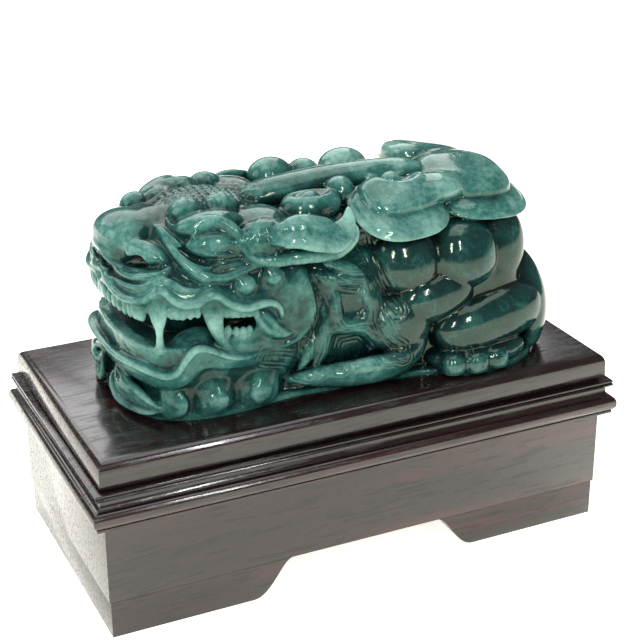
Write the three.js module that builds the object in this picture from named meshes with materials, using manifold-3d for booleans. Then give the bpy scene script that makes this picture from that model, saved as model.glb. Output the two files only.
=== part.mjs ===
// A pixiu carved from one piece of jade, lying with a ruyi sceptre along its back, on its rosewood stand.
// Units are millimetres, +Z up, +X towards the tail, and the origin is on the floor under the middle of the stand.

import * as THREE from 'three';
import Module from 'manifold-3d';
import { SimplifyModifier } from 'three/addons/modifiers/SimplifyModifier.js';
import { mergeVertices } from 'three/addons/utils/BufferGeometryUtils.js';

const wasm = await Module();
wasm.setup();

// Stand
const standLength = 143;
const standDepth = 75;
const blockHeight = 37.6;
const footHeight = 9.6;
const glueGap = 0.3;
const upperBandHeight = 7.2;
const upperBandInset = 2.6;
const lowerBandHeight = 9.6;
const skirtInset = 3.4;
const quirkDepth = 1.1;
const edgeRound = 2.2;
const footLengthAtTop = 47;
const footLengthAtFloor = 36.5;
const footSetback = 0.4;

// Recess that the carving is sunk in
const recessDepth = 2;
const recessClearance = 0.6;
const restGap = 0.3;

// Carving: the forms below are drawn for a length of 118 mm and take their size from carvingLength
const carvingLength = 118;
const drawnLength = 118;
const farSideShare = 0.9;
const farBrowAdvance = 0.12;
const farBrowDrop = 0.12;
const seamHeight = 0.5;
const plugTop = 3;
const carvingFaces = 9000;
const foldGap = 0.04;

// Plan outline of the head, a superellipse, as drawn
const headMiddleX = -30;
const headFront = 26;
const headBack = 22;
const headHalfWidth = 26;
const headPower = 2.8;

const jadeFinish = new THREE.MeshStandardMaterial({ color: '#2f6f62', roughness: 0.15, metalness: 0 });
const lacquerFinish = new THREE.MeshStandardMaterial({ color: '#2a1a1a', roughness: 0.3, metalness: 0 });

const near = -1;
const far = 1;
const sides = [near, far];

// Solids and meshes

/** Turns a closed three.js geometry into a solid that can be joined and cut. */
function solid(geometry) {
  const bare = geometry.clone();
  bare.deleteAttribute('normal');
  bare.deleteAttribute('uv');
  const welded = mergeVertices(bare, 1e-4);
  return new wasm.Manifold(new wasm.Mesh({
    numProp: 3,
    vertProperties: Float32Array.from(welded.attributes.position.array),
    triVerts: Uint32Array.from(welded.index.array),
  }));
}

/** Joins a list of solids two by two, so that no solid meets one much larger than itself too often. */
function joined(solids) {
  let row = solids;
  while (row.length > 1) {
    const next = [];
    for (let i = 0; i < row.length; i += 2) {
      next.push(i + 1 < row.length ? row[i].add(row[i + 1]) : row[i]);
    }
    row = next;
  }
  return row[0];
}

/** The three.js geometry of a solid. */
function geometryOf(body) {
  const { vertProperties, triVerts } = body.getMesh();
  const geometry = new THREE.BufferGeometry();
  geometry.setAttribute('position', new THREE.BufferAttribute(vertProperties, 3));
  geometry.setIndex(new THREE.BufferAttribute(triVerts, 1));
  return geometry;
}

/** Makes a named mesh out of a solid. */
function meshOf(name, body, material) {
  const mesh = new THREE.Mesh(geometryOf(body), material);
  mesh.name = name;
  return mesh;
}

// The two forms that the carving is made of

/** Bends a sphere's coordinate so that power 2 stays round and a higher power grows square shoulders. */
function squared(value, power) {
  return Math.sign(value) * Math.abs(value) ** (2 / power);
}

/** A lump: a sphere stretched to three half-axes, squared by power, turned in degrees and put in place. */
function lump(centre, radii, { turn = [0, 0, 0], power = 2, around = 10, down = 7 } = {}) {
  const geometry = new THREE.SphereGeometry(1, around, down).rotateX(Math.PI / 2);
  const position = geometry.attributes.position;
  const point = new THREE.Vector3();
  for (let i = 0; i < position.count; i += 1) {
    point.fromBufferAttribute(position, i);
    const level = Math.hypot(point.x, point.y);
    const bearing = Math.atan2(point.y, point.x);
    const spread = squared(level, power);
    point.set(
      radii[0] * spread * squared(Math.cos(bearing), power),
      radii[1] * spread * squared(Math.sin(bearing), power),
      radii[2] * squared(point.z, power),
    );
    position.setXYZ(i, point.x, point.y, point.z);
  }
  const angles = turn.map(THREE.MathUtils.degToRad);
  geometry.applyQuaternion(new THREE.Quaternion().setFromEuler(new THREE.Euler(...angles)));
  geometry.translate(...centre);
  return solid(geometry);
}

/** The way out of the carving at a point, away from the line that runs inside it from head to rump. */
function outward(point) {
  const spineReach = 30;
  const spineHeight = 18;
  const foot = new THREE.Vector3(THREE.MathUtils.clamp(point.x, -spineReach, spineReach), 0, spineHeight);
  return point.clone().sub(foot).normalize();
}

/** A size part of the way along a form: one number, or a row of them spread evenly over its length. */
function sizeAt(size, along) {
  if (typeof size === 'number') {
    return size;
  }
  const place = along * (size.length - 1);
  const before = Math.min(Math.floor(place), size.length - 2);
  return THREE.MathUtils.lerp(size[before], size[before + 1], place - before);
}

/** A band: a sphere drawn out along a smooth curve, so wide across the surface and so high out of it. */
function band(points, width, height, { blunt = 0.7, around = 6, steps = 9, flat = null } = {}) {
  const curve = new THREE.CatmullRomCurve3(points.map((p) => new THREE.Vector3(...p)));
  const geometry = new THREE.SphereGeometry(1, around, steps);
  const position = geometry.attributes.position;
  const point = new THREE.Vector3();
  for (let i = 0; i < position.count; i += 1) {
    point.fromBufferAttribute(position, i);
    const along = Math.acos(THREE.MathUtils.clamp(-point.y, -1, 1)) / Math.PI;
    const ring = Math.hypot(point.x, point.z);
    const taper = ring > 1e-6 ? ring ** (blunt - 1) : 0;
    const place = curve.getPoint(along);
    const tangent = curve.getTangent(along);
    const up = flat ? new THREE.Vector3(...flat) : outward(place);
    const across = new THREE.Vector3().crossVectors(tangent, up).normalize();
    const proud = new THREE.Vector3().crossVectors(across, tangent).normalize();
    place.addScaledVector(across, point.x * taper * sizeAt(width, along));
    place.addScaledVector(proud, point.z * taper * sizeAt(height, along));
    position.setXYZ(i, place.x, place.y, place.z);
  }
  return solid(geometry);
}

/** A point on one side of the carving from a point of the near side, the far side being a little slimmer. */
function onSide(side, [x, y, z]) {
  return side === near ? [x, y, z] : [x, -farSideShare * y, z];
}

/** A point on the head, from degrees round from the muzzle, a height and how far out of the surface. */
function onHead(side, degrees, z, out) {
  const angle = THREE.MathUtils.degToRad(degrees);
  const ahead = Math.cos(angle);
  const aside = Math.sin(angle);
  const length = ahead > 0 ? headFront : headBack;
  const reach = (Math.abs(ahead / length) ** headPower + Math.abs(aside / headHalfWidth) ** headPower)
    ** (-1 / headPower);
  const rise = THREE.MathUtils.clamp((z - 20) / 25, -1, 2);
  const distance = reach * (1 - 0.1 * rise * rise) + out;
  const share = side === near ? -1 : farSideShare;
  return [headMiddleX - distance * ahead, share * distance * aside, z];
}

/** A band that runs over the head through pairs of degrees and height. */
function headBand(side, stations, out, width, height, options) {
  return band(stations.map(([degrees, z]) => onHead(side, degrees, z, out)), width, height, options);
}

/** A point of the brow or ear: the far one sits a little lower and further forward than the near one. */
function onBrow(side, point) {
  const [x, y, z] = onSide(side, point);
  return side === near ? [x, y, z] : [x - farBrowAdvance * y, y, z - farBrowDrop * y];
}

/** A band given on the near side, or its mirror on the far side. */
function sideBand(side, points, width, height, options) {
  return band(points.map((p) => onSide(side, p)), width, height, options);
}

/** A lump given on the near side, or its mirror on the far side. */
function sideLump(side, centre, radii, options = {}) {
  const [tx, ty, tz] = options.turn ?? [0, 0, 0];
  const turn = side === near ? [tx, ty, tz] : [-tx, ty, -tz];
  return lump(onSide(side, centre), radii, { ...options, turn });
}

// Head

function skull() {
  return [
    lump([-30.2, 0, 21.5], [23.6, 23.5, 21], { power: 3, around: 20, down: 10 }),
    lump([-31, 0, 38], [19, 19, 8.5], { power: 2.6, around: 14, down: 8 }),
    lump([-33, 2, 44.5], [8, 8.5, 4.6]),
    lump([-36, 0, 6], [18.5, 19.5, 7.5], { power: 2.6, around: 14 }),
  ];
}

function nose() {
  return [
    lump([-48.2, 0, 40.4], [8.2, 9.4, 5.9], { around: 14, down: 9, power: 2.2 }),
    lump([-42, 0, 43.5], [6, 7, 3.6]),
  ];
}

function muzzle(side) {
  return [
    sideLump(side, [-44.5, -11.5, 37.6], [5.4, 3.4, 2.7], { turn: [0, 15, 25] }),
    headBand(side, [[-6, 32.3], [8, 31.5], [22, 31.8], [36, 32.8], [47, 35.4], [57, 35.4], [67, 33], [76, 32.4],
      [85, 33.4], [95, 32], [106, 29.2], [115, 24.6]], -1, [2, 2, 1.9, 1.5], 2.6, { steps: 20, blunt: 0.4 }),
    headBand(side, [[2, 36.2], [18, 35.4], [32, 36.2], [44, 38.6], [56, 38.4], [66, 36]], -2.6, 1.5, 2),
    headBand(side, [[98, 28.5], [105, 25.5], [107, 21.5], [99, 18.6], [88, 18.8]], -0.8, 1.2, 1.6),
    sideLump(side, [-31, -24.5, 33.6], [3, 2.6, 2.6]),
    sideLump(side, [-24, -24.5, 33], [2.6, 2.4, 2.6]),
    sideLump(side, [-13.5, -17, 24.5], [8.4, 7.6, 11.5], { around: 12, down: 8, power: 2.3 }),
  ];
}

function eyeAndBrow(side) {
  const browBand = (points, width, height, options) =>
    band(points.map((p) => onBrow(side, p)), width, height, options);
  const knob = side === near ? [5, 5, 4.6] : [4, 4, 3.8];
  return [
    sideLump(side, [-34.5, -20.5, 42.2], [6, 3, 3.4], { turn: [12, 8, -14] }),
    browBand([[-39.5, -18.5, 42], [-38.5, -19, 45], [-35.5, -19.6, 46.2], [-32, -21, 45.2],
      [-29.5, -22.4, 42], [-29, -23.4, 39.5]], 0.9, 1.3),
    browBand([[-40, -19, 41], [-38, -21, 39.6], [-34, -22.5, 38.4], [-29.5, -23.6, 39]], 1, 1.4),
    browBand([[-41.5, -10, 46.4], [-38.5, -15, 46.2], [-34.5, -17.6, 47.4], [-31, -19.4, 46.8],
      [-28.3, -22, 43], [-27, -23.8, 40.5], [-24.5, -25, 39.6], [-21, -25.5, 40], [-19.5, -26, 42.5]], 1.7, 2.6,
    { steps: 12 }),
    sideBand(side, [[-42, -9, 44], [-41.5, -14, 41.8], [-39.5, -18, 38.3], [-36, -21, 35.8], [-30.5, -22.6, 35.6],
      [-27, -24, 37.2], [-22, -25, 37.6], [-13.5, -24, 35.8]], 1.2, 2, { steps: 12 }),
    sideBand(side, [[-43, -12, 41], [-42, -15.5, 38.3], [-40.2, -18.4, 35.2], [-37, -21.4, 33.4]], 1.1, 1.8),
    lump(onBrow(side, [-37, -11, 46]), knob, { around: 12, down: 8 }),
    lump(onBrow(side, [-28, -11.5, 46]), [5.2, 5.2, 4.6], { around: 12, down: 8 }),
    lump(onBrow(side, [-23.5, -21.5, 42.6]), [5.2, 4, 4.4]),
    lump(onBrow(side, [-20.5, -15.5, 43.5]), [7.5, 6.5, 4]),
  ];
}

function ear(side) {
  return [
    band([[-27, -24, 42.5], [-22.5, -26, 43.2], [-18.5, -26.6, 44.8], [-14, -27, 45], [-9.5, -27, 43.6],
      [-4.5, -26.4, 42.2], [-1.2, -24.4, 45.5], [0, -23, 48]].map((p) => onBrow(side, p)), [3.4, 4.4, 4.4, 2.6], 2,
    { steps: 12 }),
    band([[-28, -23.4, 39.6], [-20, -25.2, 38], [-10.5, -25.4, 37], [-3, -25.2, 38.2], [1, -24, 42.5]]
      .map((p) => onBrow(side, p)), 2.8, 2.4),
    lump(onBrow(side, [-12, -18, 40.5]), [13, 7, 4.5], { around: 12 }),
  ];
}

function fangs(side) {
  return [
    headBand(side, [[51, 34.5], [51, 30], [51.5, 25.5], [52, 21], [52, 17.6], [51.5, 14]], -1.4,
      [2.8, 2.6, 1.5, 1, 1.2, 2.4], [2, 1.9, 1.5, 1.3, 1.3, 1.6], { blunt: 0.3, steps: 12 }),
    headBand(side, [[82, 34.5], [82.5, 30], [83.5, 25], [85.5, 20.5], [89, 16], [94, 13]], -1.4,
      [3, 2.7, 1.8, 1.2, 1, 0.8], [2, 1.9, 1.7, 1.5, 1.4, 1.4], { blunt: 0.4, steps: 12 }),
  ];
}

function teeth(side) {
  const upper = [5, 10.5, 16, 21.5, 27, 32.5, 38, 61.5, 66, 70.5, 75, 89, 93, 97];
  const lower = [64, 68.5, 73, 77.5];
  const tooth = (degrees, z, size) => {
    const angle = side * degrees;
    return lump(onHead(side, degrees, z, -1.8), [1.3, 1, size],
      { turn: [0, 0, side === near ? -angle - 180 : -angle], around: 5, down: 4 });
  };
  return [
    ...upper.map((degrees) => tooth(degrees, 29.4, degrees < 45 ? 3.2 : 2.4)),
    ...lower.map((degrees) => tooth(degrees, 20.6, 2)),
  ];
}

function jaw(side) {
  return [
    headBand(side, [[-6, 16.6], [8, 16.4], [22, 15.6], [36, 14], [46, 12.2], [55, 12], [63, 14.6], [71, 17],
      [80, 17.6], [90, 16.4], [100, 16], [112, 17]], -1.6, 3.1, 2.8, { steps: 18, blunt: 0.4 }),
    headBand(side, [[-6, 10.8], [12, 10.6], [28, 9.8], [44, 8], [58, 7.8], [70, 9.4], [84, 11.4], [98, 11],
      [110, 11.5]], -2.6, 2.6, 2.6, { steps: 14, blunt: 0.4 }),
    headBand(side, [[0, 20.2], [20, 20], [40, 19.4], [56, 17.6], [66, 19.4], [80, 20.4]], -3.6, 1.6, 2,
      { steps: 12 }),
    sideBand(side, [[-54.3, -8.6, 11.5], [-54, -12.6, 8], [-50.5, -17.6, 4.6], [-46, -21, 2.4]], 3.4, 3),
  ];
}

/** The open mouth: a slot round the muzzle between the lips, as deep as the lips stand clear of the throat. */
function mouthHollow() {
  const slot = lump([-35, 0, 24.6], [28, 30, 5.6], { power: 4, around: 20, down: 8 });
  const throat = lump([-30, 0, 24], [18.5, 17.5, 12], { power: 2.8, around: 16, down: 8 });
  return slot.subtract(throat);
}

/** Nostrils, eye corners, ear shadows and the deep folds between the cheek and the mane. */
function hollows(side) {
  return [
    sideLump(side, [-49.2, -11.6, 36.8], [2.4, 2.4, 1.3], { turn: [0, 20, 0] }),
    sideLump(side, [-3.5, -24.5, 31.5], [8, 7, 4.6], { turn: [0, -8, 0] }),
    sideLump(side, [-4.8, -24.5, 21], [1.6, 5, 9]),
    sideLump(side, [1, -23.4, 20.3], [3, 2.4, 2.7]),
    sideLump(side, [-0.8, -24.6, 10.4], [3.9, 2.6, 3.3]),
    sideLump(side, [24.5, -28.5, 6], [2.6, 5, 5]),
  ];
}

// Body

function trunk() {
  return [
    lump([18, 0, 18], [38, 19.5, 18], { power: 2.8, around: 18, down: 8 }),
    lump([43, 0, 21], [12, 18, 18], { power: 2.6, around: 12 }),
    lump([12, 0, 36], [34, 16, 8], { power: 2.6, around: 14 }),
    lump([33, -2, 37.5], [17, 15, 6.5], { power: 2.4, around: 12 }),
  ];
}

function mane(side) {
  return [
    sideLump(side, [0, -15, 14], [12, 7.4, 14], { power: 2.4 }),
    sideBand(side, [[-10.5, -20.5, 26], [-5, -21.6, 23.4], [0, -21.6, 24.4], [6, -20.6, 27.5]], 1.3, 1.8),
    sideBand(side, [[-8, -21.6, 20], [-3, -22, 21.8], [1, -22, 24], [5, -21.6, 22], [5, -22, 18], [1.5, -22.4, 15.4],
      [-4, -22.8, 15.2], [-10, -23, 14]], 1.1, 1.8, { steps: 12 }),
    sideBand(side, [[-2, -22.4, 14.8], [3.4, -22.6, 14.6], [6.4, -23, 10.6], [3.6, -23.8, 6.8], [-2, -24.2, 5.4]],
      1.1, 1.8, { steps: 10 }),
    sideBand(side, [[-8.5, -21.8, 24], [-7.4, -22.2, 19], [-8.8, -22.8, 13], [-12, -23.4, 8]], 1.4, 1.7),
    sideBand(side, [[4, -20.4, 26.5], [8.5, -20.6, 21.5], [9.5, -21.6, 15.5]], 1.4, 1.8),
    sideBand(side, [[-15, -22.8, 8], [-9, -24, 5.4], [-2, -24.4, 4], [5, -24.8, 3], [11, -25, 3.4], [16.5, -25, 5],
      [21, -24.4, 9.5]], 3, 3.2, { steps: 12 }),
    sideLump(side, [14, -17.6, 11.8], [9, 7, 8.4], { around: 12 }),
    sideBand(side, [[9, -15.5, 36], [10.4, -18.4, 28], [12.4, -20.8, 21.4], [16.5, -22.4, 16]], 2.8, 2.4),
  ];
}

function haunch(side) {
  return [
    sideLump(side, [17.4, -17.6, 30.4], [7.4, 7, 6], { around: 12 }),
    sideLump(side, [32, -17.6, 29.8], [9, 7.6, 6.4], { around: 12, turn: [0, 6, 0] }),
    sideLump(side, [22.6, -19.8, 20.8], [10.4, 6.8, 5.4], { around: 12, turn: [0, -8, 0] }),
    sideBand(side, [[19, -23.4, 10.5], [27, -24.6, 12.2], [37, -25, 13.6], [48, -22.6, 14], [58, -17, 13.5]],
      [6.6, 7.4, 7, 6], 5, { steps: 11, around: 8 }),
    sideBand(side, [[46, -9, 36], [50, -11.5, 29.5], [48.5, -15.4, 22.5], [42, -19.4, 18]], 4.2, 4.2, { around: 8 }),
    sideLump(side, [43.5, -11, 24], [8.6, 8.5, 10], { around: 12 }),
    sideLump(side, [50, -11, 15], [7, 7.5, 10]),
    sideBand(side, [[56.4, -18, -1], [57.2, -17.6, 6], [57, -16.6, 13.5], [55.6, -14.4, 20], [53.6, -12.6, 24.6]],
      4.4, 3.2, { around: 8 }),
    sideLump(side, [35, -22, 3.4], [12, 8, 4.4], { around: 12 }),
    ...[[23.6, -27.4], [28.8, -28.4], [34, -28.4], [39, -27.4], [43.6, -26]].map(([x, y]) =>
      sideLump(side, [x, y, 3.2], [2.7, 3.8, 3.4], { around: 8, down: 6 })),
  ];
}

function forePaw(side) {
  return [
    sideLump(side, [-33, -16, 7], [15, 8.6, 6.6], { around: 12, power: 2.3 }),
    ...[[-45, -19.4], [-39.6, -21.6], [-34, -22.8], [-28.4, -23], [-22.8, -22.2]].map(([x, y]) =>
      sideLump(side, [x, y, 6], [2.9, 4.6, 6.2], { around: 8, down: 6 })),
  ];
}

/** The rump: a curled tail lying against the back, between the two haunches. */
function tail() {
  return [
    band([[55.4, -6, 1], [56.6, -3, 9], [56, 2, 17], [53.6, 5, 24], [51, 1.5, 28], [51, -3, 25]], 4, 3.4,
      { steps: 11, around: 8 }),
    band([[55.4, 9, 1], [56, 8.5, 8], [55, 11, 15], [52, 13.5, 20]], 3.2, 3.2),
  ];
}

// What lies along the back

function ruyi() {
  const lobes = [
    { edge: [16.4, -16.6, 42.4], edgeRadii: [13.2, 10.6, 3], turn: [24, 4, 8], cap: [17.2, -14.6, 45],
      capRadii: [10.4, 7, 3.4] },
    { edge: [41.4, -9.4, 40.8], edgeRadii: [14, 13.4, 2.8], turn: [13, 5, 0], cap: [41, -6.6, 43.2],
      capRadii: [11.4, 10.2, 3.2] },
    { edge: [38, 12, 44.4], edgeRadii: [13.4, 10, 2.8], turn: [-8, 12, 0], cap: [37.4, 10.4, 46.4],
      capRadii: [10.6, 7.4, 3] },
  ];
  const forms = lobes.flatMap(({ edge, edgeRadii, turn, cap, capRadii }) => [
    lump(edge, edgeRadii, { turn, power: 2.3, around: 20, down: 8 }),
    lump(cap, capRadii, { turn, power: 2.3, around: 16, down: 8 }),
  ]);
  forms.push(band([[-19, 1, 45], [-10, 0.4, 46], [2, 0, 46.8], [14, -0.4, 46.8], [25, -2, 46.2], [30.5, -4, 44]],
    [5, 4.8, 4.2, 3.8, 3.6], 3.8, { blunt: 0.15, around: 8, steps: 12, flat: [0, 0, 1] }));
  return forms;
}

function offerings() {
  const ingot = lump([-5, -11.4, 44.8], [8, 5.4, 4.2], { around: 14, down: 8 })
    .subtract(lump([-5, -10.8, 50], [6.4, 4.2, 3.6], { around: 12, down: 8 }))
    .add(lump([-5, -11, 45.8], [3, 2.6, 2.4], { around: 8, down: 6 }));
  return [
    ingot,
    lump([4.2, -8, 46.4], [3.8, 3.6, 3.6], { around: 10, down: 8 }),
    lump([18.6, -8, 46], [2.4, 2.2, 2], { around: 8, down: 6 }),
    lump([-4, 15.5, 44.2], [6.2, 5.4, 4.8], { around: 10 }),
    lump([5, 14.5, 43.8], [4.4, 4.4, 4]),
    lump([16.5, 15, 44.2], [6.8, 5.6, 4.6], { around: 10 }),
  ];
}

// Base of the carving, the same outline that the stand is recessed to

const baseStations = [[-53.5, 0], [-51, -12], [-43.5, -20.5], [-31, -24.5], [-18, -23], [-4, -22.5], [12, -23.5],
  [23, -25], [31, -29.5], [42, -28.5], [52, -22.5], [57.5, -12], [58, 0]];

/** The outline of the base on the plan, a smooth closed curve grown outwards by an offset. */
function baseOutline(offset) {
  const mirrored = baseStations.slice(1, -1).reverse().map(([x, y]) => [x, -farSideShare * y]);
  const scale = carvingLength / drawnLength;
  const points = [...baseStations, ...mirrored].map(([x, y]) => new THREE.Vector3(x * scale, y * scale, 0));
  const curve = new THREE.CatmullRomCurve3(points, true);
  const outlineSteps = 44;
  return Array.from({ length: outlineSteps }, (_, i) => {
    const place = curve.getPoint(i / outlineSteps);
    const tangent = curve.getTangent(i / outlineSteps);
    return new THREE.Vector2(place.x + offset * tangent.y, place.y - offset * tangent.x);
  });
}

/** A flat-ended block with the outline of the base. */
function basePrism(offset, from, to) {
  const geometry = new THREE.ExtrudeGeometry(new THREE.Shape(baseOutline(offset)), {
    depth: to - from, bevelEnabled: false,
  });
  return solid(geometry.translate(0, 0, from));
}

/** The outer skin alone: a pocket sealed inside the stone is no part of it. */
function outerSkin(body) {
  return body.decompose().reduce((best, piece) => (piece.volume() > best.volume() ? piece : best));
}

/** The same body with about so many faces, the flattest parts losing theirs first. */
async function withFaces(body, faces) {
  const surplus = (body.numTri() - faces) / 2;
  return surplus > 0 ? solid(await new SimplifyModifier().modify(geometryOf(body), surplus)) : body;
}

/** Draws apart the corners where two folds of the surface touch, each a little into its own stone. */
function parted(body) {
  const geometry = geometryOf(body);
  geometry.computeVertexNormals();
  const position = geometry.attributes.position;
  const corner = new THREE.Vector3();
  const normal = new THREE.Vector3();
  const met = new Map();
  for (let i = 0; i < position.count; i += 1) {
    const key = corner.fromBufferAttribute(position, i).toArray().map((value) => value.toFixed(3)).join();
    met.set(key, [...(met.get(key) ?? []), i]);
  }
  for (const i of [...met.values()].filter((same) => same.length > 1).flat()) {
    corner.fromBufferAttribute(position, i);
    corner.addScaledVector(normal.fromBufferAttribute(geometry.attributes.normal, i), -foldGap);
    position.setXYZ(i, corner.x, corner.y, corner.z);
  }
  return solid(geometry);
}

async function carving() {
  const forms = [...skull(), ...nose(), ...trunk(), ...tail()];
  for (const side of sides) {
    forms.push(...eyeAndBrow(side), ...ear(side), ...mane(side), ...haunch(side), ...forePaw(side));
    forms.push(...muzzle(side), ...jaw(side));
  }
  const cuts = [mouthHollow(), ...hollows(near), ...hollows(far)];
  const later = [...ruyi(), ...offerings()];
  for (const side of sides) {
    later.push(...fangs(side), ...teeth(side));
  }
  const scale = carvingLength / drawnLength;
  const figure = joined([joined(forms).subtract(joined(cuts)), ...later]).scale([scale, scale, scale]);
  const span = 2 * carvingLength;
  const under = solid(new THREE.BoxGeometry(span, span, span).translate(0, 0, seamHeight - span / 2));
  const whole = outerSkin(figure.subtract(under).add(basePrism(0, restGap - recessDepth, plugTop)));
  return outerSkin(parted(await withFaces(whole, carvingFaces)));
}

// Stand

/** One rectangular ring of the moulding: so far in from the outermost edge, at a height. */
function standBlock() {
  const top = blockHeight;
  const quirk = top - upperBandHeight;
  const lowerEnd = quirk - lowerBandHeight;
  const profile = [
    [skirtInset, 0],
    [skirtInset, lowerEnd],
    [0.9, lowerEnd + 0.2],
    [0.9, lowerEnd + 1],
    [0.3, lowerEnd + 1.6],
    [0, lowerEnd + 3],
    [0.4, lowerEnd + 4.6],
    [1.7, lowerEnd + 6],
    [2.1, quirk - 1.8],
    [1, quirk - 0.9],
    [1, quirk],
    [upperBandInset + quirkDepth, quirk],
    [upperBandInset + quirkDepth, quirk + 0.7],
    [upperBandInset, quirk + 0.9],
    [upperBandInset + 0.2, top - edgeRound],
    [upperBandInset + 0.3 * edgeRound + 0.2, top - 0.3 * edgeRound],
    [upperBandInset + edgeRound + 0.4, top],
  ];
  const corners = [[-1, -1], [1, -1], [1, 1], [-1, 1]];
  const positions = [];
  for (const [inset, z] of profile) {
    for (const [cx, cy] of corners) {
      positions.push(cx * (standLength / 2 - inset), cy * (standDepth / 2 - inset), z);
    }
  }
  const index = [];
  const quad = (a, b, c, d) => index.push(a, b, c, a, c, d);
  for (let ring = 0; ring + 1 < profile.length; ring += 1) {
    for (let k = 0; k < 4; k += 1) {
      const next = (k + 1) % 4;
      quad(4 * ring + k, 4 * ring + next, 4 * ring + 4 + next, 4 * ring + 4 + k);
    }
  }
  const last = 4 * (profile.length - 1);
  quad(3, 2, 1, 0);
  quad(last, last + 1, last + 2, last + 3);
  const geometry = new THREE.BufferGeometry();
  geometry.setAttribute('position', new THREE.Float32BufferAttribute(positions, 3));
  geometry.setIndex(index);
  const cutAbove = 5;
  const recess = basePrism(recessClearance, blockHeight - recessDepth, blockHeight + cutAbove);
  return meshOf('stand_block', solid(geometry).subtract(recess), lacquerFinish);
}

/** A foot across the depth of the stand, with an ogee on the side that faces the other foot. */
function standFoot(name, end) {
  const outer = standLength / 2 - skirtInset - footSetback;
  const topEdge = outer - footLengthAtTop;
  const floorEdge = outer - footLengthAtFloor;
  const run = floorEdge - topEdge;
  const shape = new THREE.Shape();
  shape.moveTo(outer, 0);
  shape.lineTo(outer, footHeight);
  shape.lineTo(topEdge, footHeight);
  shape.quadraticCurveTo(topEdge + 0.22 * run, 0.86 * footHeight, topEdge + 0.36 * run, 0.62 * footHeight);
  shape.quadraticCurveTo(topEdge + 0.6 * run, 0.16 * footHeight, floorEdge, 0);
  const depth = standDepth - 2 * (skirtInset + footSetback);
  const geometry = new THREE.ExtrudeGeometry(shape, { depth, bevelEnabled: false, curveSegments: 6 });
  geometry.rotateX(Math.PI / 2);
  geometry.translate(0, depth / 2, 0);
  if (end < 0) {
    geometry.rotateZ(Math.PI);
  }
  return meshOf(name, solid(geometry), lacquerFinish);
}

const group = new THREE.Group();

const figure = meshOf('jade_pixiu', await carving(), jadeFinish);
figure.position.z = footHeight + glueGap + blockHeight;
const block = standBlock();
block.position.z = footHeight + glueGap;
group.add(figure, block, standFoot('foot_left', -1), standFoot('foot_right', 1));

export default group;
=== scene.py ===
"""The looks of a jade pixiu carving with a ruyi along its back, on its lacquered rosewood stand.

The stone is carved on a grid of distances, form by form, as a carver roughs out and then details it. Lengths are in
millimetres above the stand's top unless a name says metres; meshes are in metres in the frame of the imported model.
"""

from __future__ import annotations

import logging
import math
from dataclasses import dataclass, field
from enum import Enum
from typing import Iterable, Sequence

import bpy
import numpy as np
from mathutils import Matrix, Vector

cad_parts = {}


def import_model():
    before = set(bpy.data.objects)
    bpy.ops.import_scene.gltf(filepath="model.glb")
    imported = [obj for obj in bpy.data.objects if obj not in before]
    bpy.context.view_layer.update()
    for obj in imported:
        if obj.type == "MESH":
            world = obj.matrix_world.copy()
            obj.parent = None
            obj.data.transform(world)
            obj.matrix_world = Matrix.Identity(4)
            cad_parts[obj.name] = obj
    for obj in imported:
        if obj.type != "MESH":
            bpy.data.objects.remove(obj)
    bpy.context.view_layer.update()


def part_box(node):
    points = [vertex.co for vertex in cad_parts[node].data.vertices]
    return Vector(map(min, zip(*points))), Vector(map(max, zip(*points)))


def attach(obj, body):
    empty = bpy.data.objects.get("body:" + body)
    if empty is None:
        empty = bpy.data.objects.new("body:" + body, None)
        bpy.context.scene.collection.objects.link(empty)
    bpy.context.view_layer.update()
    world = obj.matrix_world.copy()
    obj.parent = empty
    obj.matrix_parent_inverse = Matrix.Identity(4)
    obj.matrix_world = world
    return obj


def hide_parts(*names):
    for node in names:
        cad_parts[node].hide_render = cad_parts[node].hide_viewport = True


LOG = logging.getLogger("pixiu")
METRES = 0.001
Point = tuple[float, float, float]
Size = float | tuple[float, ...]


class Side(Enum):
    """The side of the beast that faces the photo's camera, and the one behind it."""

    NEAR = -1
    FAR = 1


# --------------------------------------------------------------------------------------------------------------
# Stone carving: forms and the block they are carved in
# --------------------------------------------------------------------------------------------------------------


def turned(degrees: Point) -> np.ndarray:
    """Gives the matrix that turns about X, Y and Z, the Z turn first.

    Args:
        degrees: The three turns.

    Returns:
        A 3 x 3 rotation matrix.
    """
    rx, ry, rz = (Matrix.Rotation(math.radians(a), 3, axis) for a, axis in zip(degrees, "XYZ"))
    return np.array(rx @ ry @ rz)


@dataclass(frozen=True)
class Lump:
    """A rounded swelling: a stretched sphere, squarer as its power grows."""

    centre: Point
    radii: Point
    turn: Point = (0.0, 0.0, 0.0)
    power: float = 2.0
    fillet: float = 0.7

    def reach(self) -> tuple[np.ndarray, np.ndarray]:
        """Returns the lowest and highest corner of a box that holds the form."""
        spread = np.abs(turned(self.turn)) @ np.array(self.radii)
        return np.array(self.centre) - spread, np.array(self.centre) + spread

    def distance(self, points: np.ndarray) -> np.ndarray:
        """Measures how far points lie outside the form, along the line from its centre."""
        local = (points - np.array(self.centre)) @ turned(self.turn)
        share = (np.abs(local / np.array(self.radii)) ** self.power).sum(-1) ** (1 / self.power)
        return np.linalg.norm(local, axis=-1) * (1 - 1 / np.maximum(share, 0.05))


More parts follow.
